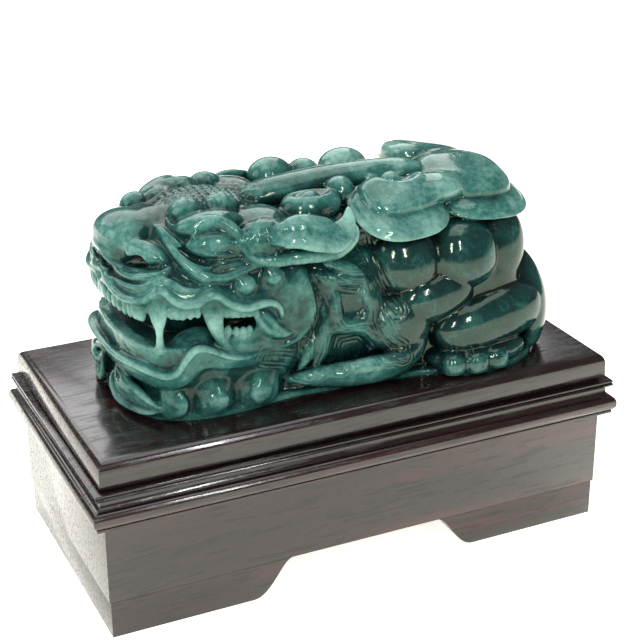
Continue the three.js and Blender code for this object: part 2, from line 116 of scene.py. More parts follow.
def catmull_rom(points: np.ndarray, along: np.ndarray, closed: bool = False) -> np.ndarray:
    """Follows a centripetal spline through points.

    Args:
        points: The points that it passes through.
        along: Places on it, 0 at its start and 1 at its end, each span having an equal share.
        closed: Whether the last point joins on to the first.

    Returns:
        A point for each place.
    """
    count = len(points)
    if closed:
        padded = np.vstack([points[-1], points, points[0], points[1]])
        spans = count
    else:
        padded = np.vstack([2 * points[0] - points[1], points, 2 * points[-1] - points[-2]])
        spans = count - 1
    place = np.clip(along, 0, 1) * spans
    span = np.minimum(place.astype(int), spans - 1)
    share = (place - span)[:, None]
    p0, p1, p2, p3 = (padded[span + i] for i in range(4))

    def root(a: np.ndarray, b: np.ndarray) -> np.ndarray:
        return np.maximum(((a - b) ** 2).sum(-1, keepdims=True) ** 0.25, 1e-4)

    d0, d1, d2 = root(p0, p1), root(p1, p2), root(p2, p3)
    t1 = ((p1 - p0) / d0 - (p2 - p0) / (d0 + d1) + (p2 - p1) / d1) * d1
    t2 = ((p2 - p1) / d1 - (p3 - p1) / (d1 + d2) + (p3 - p2) / d2) * d1
    square, cube = share**2, share**3
    return ((2 * cube - 3 * square + 1) * p1 + (cube - 2 * square + share) * t1
            + (3 * square - 2 * cube) * p2 + (cube - square) * t2)


def outward(points: np.ndarray) -> np.ndarray:
    """Gives the way out of the beast at points, away from the line that runs inside it from head to rump."""
    foot = np.stack([np.clip(points[:, 0], -30, 30), np.zeros(len(points)), np.full(len(points), 18.0)], -1)
    away = points - foot
    return away / np.linalg.norm(away, axis=-1, keepdims=True)


def spread_over(size: Size, along: np.ndarray) -> np.ndarray:
    """Spreads one size, or a row of them, evenly over the places along a form."""
    row = np.atleast_1d(np.array(size, float))
    if len(row) == 1:
        return np.full(len(along), row[0])
    return np.interp(along, np.linspace(0, 1, len(row)), row)


@dataclass(frozen=True)
class Band:
    """A raised band that follows a smooth line over the surface and tapers to both its ends."""

    points: tuple[Point, ...]
    width: Size
    height: Size
    blunt: float = 0.7
    up: Point | None = None
    fillet: float = 0.45
    samples: int = 56

    def line(self) -> tuple[np.ndarray, np.ndarray, np.ndarray, np.ndarray, np.ndarray]:
        """Returns the centre line with its cross and proud directions, half width and half height at each sample."""
        along = np.linspace(0, 1, self.samples)
        knots = np.array(self.points, float)
        centre = catmull_rom(knots, along)
        tangent = np.gradient(centre, axis=0)
        tangent /= np.linalg.norm(tangent, axis=-1, keepdims=True)
        up = outward(centre) if self.up is None else np.tile(np.array(self.up), (len(centre), 1))
        across = np.cross(tangent, up)
        across /= np.maximum(np.linalg.norm(across, axis=-1, keepdims=True), 1e-6)
        proud = np.cross(across, tangent)
        profile = np.sin(np.pi * along) ** self.blunt
        return (centre, across, proud, spread_over(self.width, along) * profile,
                spread_over(self.height, along) * profile)

    def reach(self) -> tuple[np.ndarray, np.ndarray]:
        """Returns the lowest and highest corner of a box that holds the form."""
        centre, _, _, wide, high = self.line()
        most = float(np.maximum(wide, high).max())
        return centre.min(0) - most, centre.max(0) + most

    def distance(self, points: np.ndarray) -> np.ndarray:
        """Measures how far points lie outside the band, from the nearest place on its centre line."""
        centre, across, proud, wide, high = (a.astype(np.float32) for a in self.line())
        nearest, share = nearest_on_line(points, centre)
        after = np.minimum(nearest + 1, len(centre) - 1)

        def at(row: np.ndarray) -> np.ndarray:
            s = share if row.ndim == 1 else share[:, None]
            return row[nearest] * (1 - s) + row[after] * s

        offset = points - at(centre)
        length = np.linalg.norm(offset, axis=-1)
        sideways = (offset * at(across)).sum(-1) / np.maximum(at(wide), 0.02)
        outwards = (offset * at(proud)).sum(-1) / np.maximum(at(high), 0.02)
        ratio = np.sqrt(sideways**2 + outwards**2)
        inner = np.minimum(at(wide), at(high))
        reach = np.where(ratio > 1e-3, length / np.maximum(ratio, 1e-3), inner)
        past_end = length > 1.5 * np.maximum(at(wide), at(high)) + 0.5
        return np.where(past_end & (ratio < 1), length, length - reach)


def nearest_on_line(points: np.ndarray, line: np.ndarray) -> tuple[np.ndarray, np.ndarray]:
    """Finds the nearest place on a line of samples.

    Args:
        points: The points to look from.
        line: The samples.

    Returns:
        For each point the sample before the nearest place, and the share of the way to the next sample.
    """
    far = (points**2).sum(-1)[:, None] - 2 * points @ line.T + (line**2).sum(-1)
    best = far.argmin(-1)
    before = np.maximum(best - 1, 0)
    after = np.minimum(best + 1, len(line) - 1)
    start = np.where(np.take_along_axis(far, before[:, None], 1)[:, 0]
                     < np.take_along_axis(far, after[:, None], 1)[:, 0], before, best)
    start = np.minimum(start, len(line) - 2)
    step = line[start + 1] - line[start]
    share = ((points - line[start]) * step).sum(-1) / np.maximum((step**2).sum(-1), 1e-9)
    return start, np.clip(share, 0, 1)


@dataclass(frozen=True)
class Engraving:
    """A fine line cut by the wheel: it sinks the surface along a smooth line."""

    points: tuple[Point, ...]
    width: float
    depth: float
    closed: bool = False
    slack: float = 1.5
    level_share: float = 0.97

    def line(self) -> np.ndarray:
        """Returns samples along the line."""
        count = max(24, 8 * len(self.points))
        return catmull_rom(np.array(self.points, float), np.linspace(0, 1, count), self.closed).astype(np.float32)

    def reach(self) -> tuple[np.ndarray, np.ndarray]:
        """Returns the lowest and highest corner of a box that holds the cut."""
        line = self.line()
        return line.min(0) - 2.5 * self.width - self.slack, line.max(0) + 2.5 * self.width + self.slack

    def depth_at(self, points: np.ndarray) -> np.ndarray:
        """Gives how deep the line sinks the surface at points."""
        line = self.line()
        start, share = nearest_on_line(points, line)
        place = line[start] * (1 - share[:, None]) + line[start + 1] * share[:, None]
        # A surface that lies a little over or under the line is cut all the same, so height counts for less.
        lift = ((points - place) * outward(place)).sum(-1) ** 2
        off = ((points - place) ** 2).sum(-1) - self.level_share * lift
        along = (start + share) / (len(line) - 1)
        fade = 1.0 if self.closed else np.clip(6 * np.minimum(along, 1 - along), 0, 1)
        return self.depth * fade * np.exp(-off / self.width**2)


@dataclass(frozen=True)
class Rim:
    """A step engraved round a flat lump, a set way in from its edge, on the upper side of it."""

    lump: Lump
    share: float
    width: float
    depth: float

    def reach(self) -> tuple[np.ndarray, np.ndarray]:
        """Returns the lowest and highest corner of a box that holds the cut."""
        low, high = self.lump.reach()
        return low - 1, high + 1

    def depth_at(self, points: np.ndarray) -> np.ndarray:
        """Gives how deep the line sinks the surface at points."""
        local = (points - np.array(self.lump.centre)) @ turned(self.lump.turn)
        radii = np.array(self.lump.radii)
        flat = (np.abs(local[:, :2] / radii[:2]) ** self.lump.power).sum(-1) ** (1 / self.lump.power)
        off = (flat - self.share) * min(radii[:2])
        above = np.clip(local[:, 2] / radii[2] * 2 + 0.6, 0, 1)
        return self.depth * above * np.exp(-(off / self.width) ** 2)


@dataclass(frozen=True)
class Scales:
    """A patch of small overlapping scales, cut in staggered rows inside a rounded box."""

    centre: Point
    radii: Point
    axis: Point
    pitch: float
    depth: float
    power: float = 2.4
    scallop: float = 0.52
    seam_width: float = 0.36

    def reach(self) -> tuple[np.ndarray, np.ndarray]:
        """Returns the lowest and highest corner of a box that holds the patch."""
        return np.array(self.centre) - np.array(self.radii), np.array(self.centre) + np.array(self.radii)

    def depth_at(self, points: np.ndarray) -> np.ndarray:
        """Gives how deep the seams between the scales sink the surface at points."""
        local = points - np.array(self.centre)
        inside = 1 - (np.abs(local / np.array(self.radii)) ** self.power).sum(-1)
        along = np.array(self.axis) / np.linalg.norm(self.axis)
        up = outward(points)
        across = np.cross(up, along)
        across /= np.maximum(np.linalg.norm(across, axis=-1, keepdims=True), 1e-6)
        u = (local @ along) / self.pitch
        v = (local * across).sum(-1) / self.pitch
        row = np.floor(u)
        v = v + 0.5 * (row % 2)
        du, dv = u - row, v - np.floor(v) - 0.5
        off = np.abs(np.hypot((du - 0.1) * 0.9, dv) - self.scallop)
        seam = np.exp(-((off * self.pitch / self.seam_width) ** 2))
        return self.depth * np.clip(3 * inside, 0, 1) * seam


@dataclass(frozen=True)
class Combing:
    """Parallel strokes that flow beside guide lines on the flanks, as a carver cuts hair."""

    guides: list[list[Point]]
    spread: float = 3.6
    samples: int = 40

    def nearest(self, points: np.ndarray) -> np.ndarray:
        """Gives how far points are from the nearest guide, seen from the side."""
        flat = (points * (1, 0, 1)).astype(np.float32)
        nearest = np.full(len(points), 1e3)
        for guide in self.guides:
            line = catmull_rom(np.array(guide, float) * (1, 0, 1), np.linspace(0, 1, self.samples)).astype(np.float32)
            start, share = nearest_on_line(flat, line)
            place = line[start] * (1 - share[:, None]) + line[start + 1] * share[:, None]
            nearest = np.minimum(nearest, np.linalg.norm(flat - place, axis=-1))
        return nearest

    def strength(self, nearest: np.ndarray) -> np.ndarray:
        """Gives how deep the strokes are, from 0 to 1, at a distance from the nearest guide."""
        return np.clip(2.5 * (1 - nearest / self.spread), 0, 1)


Form = Lump | Band
Mark = Engraving | Rim | Scales


@dataclass
class StoneBlock:
    """The block that the beast is carved in: distances to its surface on a regular grid."""

    low: Point
    high: Point
    step: float
    deepest: float = 1.6
    engraved: float = 1.5
    distances: np.ndarray = field(init=False)

    def __post_init__(self) -> None:
        """Starts with an empty grid."""
        size = np.ceil((np.array(self.high) - np.array(self.low)) / self.step).astype(int) + 1
        self.distances = np.full(tuple(size), self.deepest, np.float32)

    def _window(self, low: np.ndarray, high: np.ndarray) -> tuple[tuple[slice, ...], np.ndarray]:
        """Finds the part of the grid inside a box.

        Args:
            low: The box's lowest corner.
            high: Its highest corner.

        Returns:
            The slices of the grid, and the points of that part in a row.
        """
        first = np.floor((low - np.array(self.low)) / self.step).astype(int)
        last = np.ceil((high - np.array(self.low)) / self.step).astype(int) + 1
        first = np.clip(first, 0, self.distances.shape)
        last = np.clip(last, 0, self.distances.shape)
        axes = [(np.arange(a, b) * self.step + o).astype(np.float32) for a, b, o in zip(first, last, self.low)]
        grid = np.stack(np.meshgrid(*axes, indexing="ij"), -1).reshape(-1, 3)
        return tuple(slice(a, b) for a, b in zip(first, last)), grid

    def _near(self, shape: Form | Mark, margin: float) -> tuple[tuple[slice, ...], np.ndarray]:
        """Finds the part of the grid that a form or mark can change."""
        low, high = shape.reach()
        return self._window(low - margin, high + margin)

    def add(self, form: Form) -> None:
        """Joins a form on to the stone with a small fillet."""
        window, points = self._near(form, self.deepest)
        if not len(points):
            return
        here = self.distances[window]
        new = np.minimum(form.distance(points).reshape(here.shape), self.deepest)
        blend = np.maximum(form.fillet - np.abs(here - new), 0) / form.fillet
        self.distances[window] = np.minimum(here, new) - blend**2 * form.fillet / 4

    def hollow(self, form: Form, but: Form | None = None) -> None:
        """Cuts a form out of the stone.

        Args:
            form: The hollow.
            but: What is left standing in it.
        """
        window, points = self._near(form, self.deepest)
        here = self.distances[window]
        new = -form.distance(points)
        if but is not None:
            new = np.minimum(new, but.distance(points))
        new = new.reshape(here.shape)
        blend = np.maximum(form.fillet - np.abs(here - new), 0) / form.fillet
        self.distances[window] = np.maximum(here, new) + blend**2 * form.fillet / 4

    def engrave(self, mark: Mark) -> None:
        """Sinks the surface along a mark."""
        window, points = self._near(mark, 0.5)
        if not len(points):
            return
        here = self.distances[window]
        close = np.abs(here).ravel() < self.engraved
        cut = np.zeros(here.size, np.float32)
        cut[close] = mark.depth_at(points[close])
        self.distances[window] = here + cut.reshape(here.shape)

    def seat(self, outline: np.ndarray, cut_below: float, top: float, bottom: float) -> None:
        """Cuts the underside flat and leaves the plug that sinks in the stand.

        Args:
            outline: The plug's outline on the plan, a closed row of points.
            cut_below: The height under which only the plug is left.
            top: The height up to which the plug is solid.
            bottom: The plug's lowest height.
        """
        x, y, z = ((np.arange(n) * self.step + o).astype(np.float32)
                   for n, o in zip(self.distances.shape, self.low))
        plan = np.stack(np.meshgrid(x, y, indexing="ij"), -1).reshape(-1, 2)
        away, inside = np.full(len(plan), 1e9), np.zeros(len(plan), bool)
        for a, b in zip(outline, np.roll(outline, -1, 0)):
            run = b - a
            share = np.clip(((plan - a) @ run) / (run @ run), 0, 1)
            away = np.minimum(away, np.linalg.norm(plan - a - share[:, None] * run, axis=-1))
            crosses = (a[1] > plan[:, 1]) != (b[1] > plan[:, 1])
            rise = np.where(abs(run[1]) > 1e-9, run[1], 1e-9)
            inside ^= crosses & (plan[:, 0] < a[0] + (plan[:, 1] - a[1]) * run[0] / rise)
        flat = np.where(inside, -away, away).reshape(len(x), len(y), 1)
        plug = np.maximum(flat, np.maximum(z - top, bottom - z)[None, None, :])
        above = np.maximum(self.distances, (cut_below - z)[None, None, :])
        self.distances = np.minimum(above, plug).astype(np.float32)

    def polish(self) -> None:
        """Rounds the creases and edges a little, as the polishing does."""
        values = np.clip(self.distances, -self.deepest, self.deepest)
        for axis in range(3):
            moved = np.moveaxis(values, axis, 0)
            moved[1:-1] = 0.25 * moved[:-2] + 0.5 * moved[1:-1] + 0.25 * moved[2:]
            values = np.moveaxis(moved, 0, axis)
        self.distances = values

    def skin(self) -> tuple[np.ndarray, np.ndarray]:
        """Draws the surface with one vertex in each cell that it passes through.

        Returns:
            The vertices in millimetres and the four-sided faces.
        """
        grid = self.distances
        inside = grid < 0
        corners = [(i, j, k) for i in (0, 1) for j in (0, 1) for k in (0, 1)]
        nx, ny, nz = (n - 1 for n in grid.shape)
        count = np.zeros((nx, ny, nz), np.uint8)
        for i, j, k in corners:
            count += inside[i:i + nx, j:j + ny, k:k + nz]
        cells = np.argwhere((count > 0) & (count < 8))
        number = np.full((nx, ny, nz), -1, np.int64)
        number[tuple(cells.T)] = np.arange(len(cells))
        total, hits = np.zeros((len(cells), 3)), np.zeros(len(cells))
        for a in corners:
            for axis in range(3):
                if a[axis]:
                    continue
                b = tuple(v + (n == axis) for n, v in enumerate(a))
                fa, fb = grid[tuple((cells + a).T)], grid[tuple((cells + b).T)]
                cross = (fa < 0) != (fb < 0)
                place = np.tile(np.array(a, float), (len(cells), 1))
                place[:, axis] = np.where(cross, fa / np.where(cross, fa - fb, 1), 0)
                total[cross] += place[cross]
                hits[cross] += 1
        vertices = np.array(self.low) + self.step * (cells + total / hits[:, None])
        faces = []
        for axis in range(3):
            u, v = (axis + 1) % 3, (axis + 2) % 3
            first = [slice(1, -1)] * 3
            second = [slice(1, -1)] * 3
            first[axis], second[axis] = slice(0, -1), slice(1, None)
            low, high = inside[tuple(first)], inside[tuple(second)]
            edges = np.argwhere(low != high)
            start = edges + [0 if n == axis else 1 for n in range(3)]
            eu, ev = np.eye(3, dtype=int)[u], np.eye(3, dtype=int)[v]
            ring = [number[tuple((start - du * eu - dv * ev).T)] for du, dv in ((0, 0), (1, 0), (1, 1), (0, 1))]
            quads = np.stack(ring, -1)
            flip = ~low[tuple(edges.T)]
            quads[flip] = quads[flip][:, ::-1]
            faces.append(quads)
        return vertices, np.concatenate(faces)

    def bulk(self, reach: float) -> np.ndarray:
        """Gives how much of the space round each grid point is stone, within about a reach in millimetres."""
        width = max(1, int(round(reach / self.step)))
        values = (self.distances < 0).astype(np.float32)
        for _ in range(2):
            for axis in range(3):
                moved = np.moveaxis(values, axis, 0)
                padded = np.concatenate([np.repeat(moved[:1], width + 1, 0), moved,
                                         np.repeat(moved[-1:], width, 0)]).cumsum(0)
                values = np.moveaxis((padded[2 * width + 1:] - padded[:-2 * width - 1]) / (2 * width + 1), 0, axis)
        return values

    def sample(self, values: np.ndarray, points: np.ndarray) -> np.ndarray:
        """Reads a grid of values at points in millimetres."""
        place = (points - np.array(self.low)) / self.step
        base = np.clip(np.floor(place).astype(int), 0, np.array(values.shape) - 2)
        share = np.clip(place - base, 0, 1)
        found = np.zeros(len(points))
        for i in (0, 1):
            for j in (0, 1):
                for k in (0, 1):
                    weight = (np.abs(1 - i - share[:, 0]) * np.abs(1 - j - share[:, 1])
                              * np.abs(1 - k - share[:, 2]))
                    found += weight * values[tuple((base + (i, j, k)).T)]
        return found


def relaxed(vertices: np.ndarray, faces: np.ndarray, inwards: float = 0.5, outwards: float = -0.52) -> np.ndarray:
    """Evens out the steps that the grid leaves: a step inwards, then one outwards that keeps the form from shrinking.

    Args:
        vertices: The mesh's vertices.
        faces: Its four-sided faces.
        inwards: The first step's share of the way to the neighbours' mean.
        outwards: The second step's share.

    Returns:
        The moved vertices.
    """
    edges = np.concatenate([faces[:, [0, 1]], faces[:, [1, 2]], faces[:, [2, 3]], faces[:, [3, 0]]])
    edges = np.concatenate([edges, edges[:, ::-1]])
    count = np.bincount(edges[:, 0], minlength=len(vertices))[:, None]
    moved = vertices.copy()
    for share in (inwards, outwards):
        mean = np.stack([np.bincount(edges[:, 0], moved[edges[:, 1], axis], len(vertices)) for axis in range(3)], -1)
        moved += share * (mean / count - moved)
    return moved


# --------------------------------------------------------------------------------------------------------------
# Finishes
# --------------------------------------------------------------------------------------------------------------


def linear(hex_colour: str) -> tuple[float, float, float, float]:
    """Turns an sRGB hex colour into Blender's linear values."""
    parts = [int(hex_colour[i:i + 2], 16) / 255 for i in (1, 3, 5)]
    r, g, b = (c / 12.92 if c <= 0.04045 else ((c + 0.055) / 1.055) ** 2.4 for c in parts)
    return (r, g, b, 1.0)


def add_node(tree: bpy.types.NodeTree, kind: str, settings: dict | None = None,
             inputs: dict | None = None) -> bpy.types.Node:
    """Adds a node with its settings and links.

    Args:
        tree: The node tree.
        kind: The node's type name.
        settings: Properties of the node.
        inputs: For each input, by name or number, a value or the output that feeds it.

    Returns:
        The new node.
    """
    node = tree.nodes.new(kind)
    for name, value in (settings or {}).items():
        setattr(node, name, value)
    for name, value in (inputs or {}).items():
        if isinstance(value, bpy.types.NodeSocket):
            tree.links.new(value, node.inputs[name])
        else:
            node.inputs[name].default_value = value
    return node


def calculate(tree: bpy.types.NodeTree, operation: str, *values: bpy.types.NodeSocket | float
              ) -> bpy.types.NodeSocket:
    """Adds a math node for an operation on values or sockets and returns its result."""
    return add_node(tree, "ShaderNodeMath", {"operation": operation}, dict(enumerate(values))).outputs[0]


def noise(tree: bpy.types.NodeTree, place: bpy.types.NodeSocket, size_mm: float, detail: float, **more: float
          ) -> bpy.types.NodeSocket:
    """Adds a noise whose patches are about a size across and returns its value."""
    return add_node(tree, "ShaderNodeTexNoise", inputs={
        "Vector": place, "Scale": 1000 / size_mm, "Detail": detail, **more}).outputs["Fac"]


def between(tree: bpy.types.NodeTree, value: bpy.types.NodeSocket, span: tuple[float, float],
            result: tuple[float, float]) -> bpy.types.NodeSocket:
    """Adds a node that carries a value's span over to another, held at both ends, and returns its result."""
    return add_node(tree, "ShaderNodeMapRange", inputs={
        "Value": value, "From Min": span[0], "From Max": span[1], "To Min": result[0], "To Max": result[1]
    }).outputs[0]


def bumped(tree: bpy.types.NodeTree, height: bpy.types.NodeSocket, strength: float, height_mm: float,
           under: bpy.types.NodeSocket | None = None, invert: bool = False) -> bpy.types.NodeSocket:
    """Adds a bump on top of another and returns its normal.

    Args:
        tree: The node tree.
        height: The pattern, from 0 to 1.
        strength: How much of it shows.
        height_mm: How high it is.
        under: The normal of the bump below it.
        invert: Whether the pattern is cut in.

    Returns:
        The normal.
    """
    below = {} if under is None else {"Normal": under}
    return add_node(tree, "ShaderNodeBump", {"invert": invert}, {
        "Height": height, "Strength": strength, "Distance": height_mm * METRES, **below}).outputs[0]


def finished(material: bpy.types.Material, **inputs) -> bpy.types.Material:
    """Adds the surface shader and the output to a material.

    Args:
        material: The material.
        **inputs: The shader's inputs, with an underscore for each space in their names.

    Returns:
        The same material.
    """
    tree = material.node_tree
    shader = add_node(tree, "ShaderNodeBsdfPrincipled",
                      inputs={name.replace("_", " "): value for name, value in inputs.items()})
    add_node(tree, "ShaderNodeOutputMaterial", inputs={"Surface": shader.outputs[0]})
    return material


def ramp(tree: bpy.types.NodeTree, factor: bpy.types.NodeSocket, stops: Sequence[tuple[float, str]]
         ) -> bpy.types.NodeSocket:
    """Adds a colour ramp through sRGB hex colours and returns its colour."""
    node = add_node(tree, "ShaderNodeValToRGB", inputs={"Fac": factor})
    elements = node.color_ramp.elements
    while len(elements) < len(stops):
        elements.new(0.5)
    for element, (place, colour) in zip(elements, stops):
        element.position = place
        element.color = linear(colour)
    return node.outputs["Color"]


def new_material(name: str) -> tuple[bpy.types.Material, bpy.types.NodeTree]:
    """Makes a material with an empty node tree."""
    material = bpy.data.materials.new(name)
    material.use_nodes = True
    material.node_tree.nodes.clear()
    return material, material.node_tree


@dataclass(frozen=True)
class PolishedJade:
    """Polished nephrite-green jadeite: glassy gloss over cloudy, slightly see-through stone."""

    name: str = "polished_jade"
    stops: tuple[tuple[float, str], ...] = ((0.26, "#061212"), (0.46, "#123130"), (0.62, "#30605a"), (0.9, "#7ca59b"))
    reflection: str = "#e2f2da"
    cloud_mm: float = 7.0
    fleck_mm: float = 1.3
    wave_mm: float = 5.0
    wheel_mm: float = 0.8
    stroke_mm: float = 1.1
    ior: float = 1.54
    roughness: float = 0.1
    # The haunches get painted shade and the ruyi's tops over them painted light; the spans run along X and up Z.
    rump_span: tuple[float, float] = (0.004, 0.016)
    haunch_painted_shade: float = -0.12
    ruyi_painted_light_span: tuple[float, float] = (0.082, 0.089)
    head_span: tuple[float, float] = (-0.012, 0.012)

    def material(self) -> bpy.types.Material:
        """Builds the material.

        Returns:
            The finished material.
        """
        material, tree = new_material(self.name)
        place = add_node(tree, "ShaderNodeTexCoord").outputs["Object"]
        # Cloudy growth of the crystals, several millimetres across, with finer flecks of darker fibre in it.
        cloud = noise(tree, place, self.cloud_mm, 6.0, Roughness=0.62, Distortion=0.5)
        fleck = noise(tree, place, self.fleck_mm, 4.0, Roughness=0.7)
        mottled = calculate(tree, "ADD", calculate(tree, "MULTIPLY_ADD", cloud, 0.5, -0.25),
                            calculate(tree, "MULTIPLY_ADD", fleck, 0.3, -0.15))
        # Painted shade makes the haunches darker, and painted light makes the ruyi's tops over them paler.
        where = add_node(tree, "ShaderNodeSeparateXYZ", inputs={"Vector": place}).outputs
        rump = between(tree, where["X"], self.rump_span, (0.0, self.haunch_painted_shade))
        low = between(tree, where["Z"], self.ruyi_painted_light_span, (1.0, -0.75))
        shaded = calculate(tree, "MULTIPLY_ADD", rump, low, mottled)
        # Painted light through thin edges makes them paler; painted shade in deep folds makes them nearly black-green.
        edge_light_fold_shade = add_node(tree, "ShaderNodeAttribute", {"attribute_name": "painted_edge_light_and_fold_shade"}).outputs["Fac"]
        colour = ramp(tree, calculate(tree, "ADD", edge_light_fold_shade, shaded), self.stops)
        # The polish isn't optically flat: a slow waviness and faint wheel marks break up the reflections.
        normal = bumped(tree, noise(tree, place, self.wave_mm, 2.0), 0.1, 0.6)
        normal = bumped(tree, noise(tree, place, self.wheel_mm, 2.0), 0.14, 0.2, normal)
        # The hair strokes are finer than the carving's mesh, so they are cut here, beside the guides it carries.
        beside, combed = (add_node(tree, "ShaderNodeAttribute", {"attribute_name": name}).outputs["Fac"]
                          for name in ("beside_guide", "combed"))
        waves = calculate(tree, "SINE", calculate(tree, "MULTIPLY", beside, math.tau / self.stroke_mm))
        normal = bumped(tree, calculate(tree, "MULTIPLY", waves, combed), 0.7, 0.12, normal)
        # The finely cut head can't be buffed as bright as the broad haunches and the ruyi.
        gloss = between(tree, where["X"], self.head_span, (self.roughness + 0.03, self.roughness))
        mirror = between(tree, where["X"], self.head_span, (0.3, 0.5))
        return finished(
            material, Base_Color=colour, Roughness=gloss, Normal=normal, Specular_IOR_Level=mirror,
            Specular_Tint=linear(self.reflection), IOR=self.ior, Subsurface_Weight=0.12,
            Subsurface_Radius=(0.6, 1.0, 0.9), Subsurface_Scale=METRES)


@dataclass(frozen=True)
class LacqueredRosewood:
    """Dark rosewood, stained nearly black and lacquered: open pores show as short streaks that break the gloss."""

    name: str = "lacquered_rosewood"
    stops: tuple[tuple[float, str], ...] = ((0.34, "#0d0707"), (0.55, "#1f0f0f"), (0.78, "#4a1c1a"))
    pore_ink: str = "#8a7f7f"
    pore_length_mm: float = 2.4
    pore_width_mm: float = 0.28
    grain_mm: float = 9.0
    grain_stretch: float = 0.06
    peel_mm: float = 3.0
    roughness: float = 0.2

    def material(self) -> bpy.types.Material:
        """Builds the material.

        Returns:
            The finished material.
        """
        material, tree = new_material(self.name)
        place = add_node(tree, "ShaderNodeTexCoord").outputs["Object"]
        # The grain runs along the stand, so every pattern is drawn out along X.
        along, streak = (add_node(tree, "ShaderNodeMapping", inputs={
            "Vector": place, "Scale": (stretch, 1.0, 1.0)}).outputs[0]
            for stretch in (self.grain_stretch, self.pore_width_mm / self.pore_length_mm))
        grain = noise(tree, along, self.grain_mm, 7.0, Roughness=0.66, Distortion=0.8)
        pores = noise(tree, streak, 4 * self.pore_width_mm, 3.0, Roughness=0.6)
        pits = between(tree, pores, (0.5, 0.64), (0.0, 1.0))
        inked = add_node(tree, "ShaderNodeMix", {"data_type": "RGBA", "blend_type": "MULTIPLY"},
                         {"Factor": pits, 6: ramp(tree, grain, self.stops), 7: linear(self.pore_ink)})
        rough = between(tree, pits, (0.0, 1.0), (self.roughness, self.roughness + 0.28))
        # The lacquer has a faint orange peel and sinks into the pores.
        normal = bumped(tree, noise(tree, place, self.peel_mm, 2.0), 0.07, 0.4)
        normal = bumped(tree, pits, 0.12, 0.1, normal, invert=True)
        return finished(material, Base_Color=inked.outputs[2], Roughness=rough, Normal=normal, IOR=1.5,
                        Coat_Weight=0.5, Coat_Roughness=0.12)


@dataclass(frozen=True)
class PaleBoard:
    """The matt white board under the work, which glows so that it stays plain white."""

    name: str = "pale_board"
    colour: str = "#f6f4ea"
    glow: float = 0.9
    tooth_mm: float = 1000 / 900

    def material(self) -> bpy.types.Material:
        """Builds the material.

        Returns:
            The finished material.
        """
        material, tree = new_material(self.name)
        place = add_node(tree, "ShaderNodeTexCoord").outputs["Object"]
        normal = bumped(tree, noise(tree, place, self.tooth_mm, 3.0), 0.05, 0.2)
        colour = linear(self.colour)
        return finished(material, Base_Color=colour, Roughness=0.7, Normal=normal, Emission_Color=colour,
                        Emission_Strength=self.glow)


def new_piece(name: str, vertices: np.ndarray, faces: Sequence[Sequence[int]], smooth: bool = True
              ) -> bpy.types.Object:
    """Makes a mesh object at the origin.

    Args:
        name: The piece's name.
        vertices: Its points in metres.
        faces: Its faces, as rows of vertex numbers.
        smooth: Whether it is shaded smooth.

    Returns:
        The new object, linked to the scene.
    """
    mesh = bpy.data.meshes.new(name)
    mesh.from_pydata(np.asarray(vertices).tolist(), [], [list(map(int, f)) for f in faces])
    mesh.update()
    mesh.polygons.foreach_set("use_smooth", [smooth] * len(mesh.polygons))
    piece = bpy.data.objects.new(name, mesh)
    bpy.context.scene.collection.objects.link(piece)
    return piece


def settle_modifiers(piece: bpy.types.Object) -> None:
    """Turns a piece's evaluated shape into its plain mesh and takes its modifiers off."""
    graph = bpy.context.evaluated_depsgraph_get()
    mesh = bpy.data.meshes.new_from_object(piece.evaluated_get(graph))
    mesh.name = piece.name
    piece.modifiers.clear()
    piece.data = mesh


def dress(piece: bpy.types.Object, material: bpy.types.Material, node: str) -> None:
    """Gives a piece its finish and its place in the frame.

    Args:
        piece: The finished piece.
        material: Its finish.
        node: The CAD node that it stands for.
    """
    piece.data.materials.clear()
    piece.data.materials.append(material)
    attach(piece, "root")
    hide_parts(node)
    LOG.info("%s: %d faces", piece.name, len(piece.data.polygons))


# --------------------------------------------------------------------------------------------------------------
# The carving
# --------------------------------------------------------------------------------------------------------------


@dataclass
class Beast:
    """How the far side of the beast follows the near one, which the forms are given on."""

    far_share: float = 0.9
    far_brow_drop: float = 0.1

    def on_side(self, side: Side, point: Point) -> Point:
        """Carries a point of the near side to a side."""
        x, y, z = point
        return (x, y, z) if side is Side.NEAR else (x, -self.far_share * y, z)

    def on_brow(self, side: Side, point: Point) -> Point:
        """Carries a point of the near brow to a side; the far one sits a little lower."""
        x, y, z = self.on_side(side, point)
        return (x, y, z if side is Side.NEAR else z - self.far_brow_drop * y)

    def mass(self, centre: Point, radii: Point, power: float = 2.0) -> Lump:
        """A mass across the whole body, as wide on each side as that side is."""
        give = (1 - self.far_share) / 2
        return Lump((centre[0], centre[1] - give * radii[1], centre[2]), (radii[0], (1 - give) * radii[1], radii[2]),
                    power=power)

    def band(self, side: Side, points: Iterable[Point], width: Size, height: Size, sink: float, **options) -> Band:
        """A band given on the near side, carried to a side.

        Args:
            side: The side.
            points: Its centre line on the near side.
            width: Half its width, or a row of half widths along it.
            height: Half its height, or a row of them.
            sink: How far its centre line lies under the given points.
            **options: More of the band's fields.

        Returns:
            The band.
        """
        knots = np.array([self.on_side(side, p) for p in points])
        options.setdefault("fillet", 1.1)
        return Band(tuple(map(tuple, knots - sink * outward(knots))), width, height, **options)

    def line(self, side: Side, points: Iterable[Point], width: float, depth: float, closed: bool = False
             ) -> Engraving:
        """An engraved line given on the near side, carried to a side."""
        return Engraving(tuple(self.on_side(side, p) for p in points), width, depth, closed)

    def lump(self, side: Side, centre: Point, radii: Point, turn: Point = (0.0, 0.0, 0.0), **options) -> Lump:
        """A lump given on the near side, carried to a side."""
        tx, ty, tz = turn
        return Lump(self.on_side(side, centre), radii, turn if side is Side.NEAR else (-tx, ty, -tz), **options)


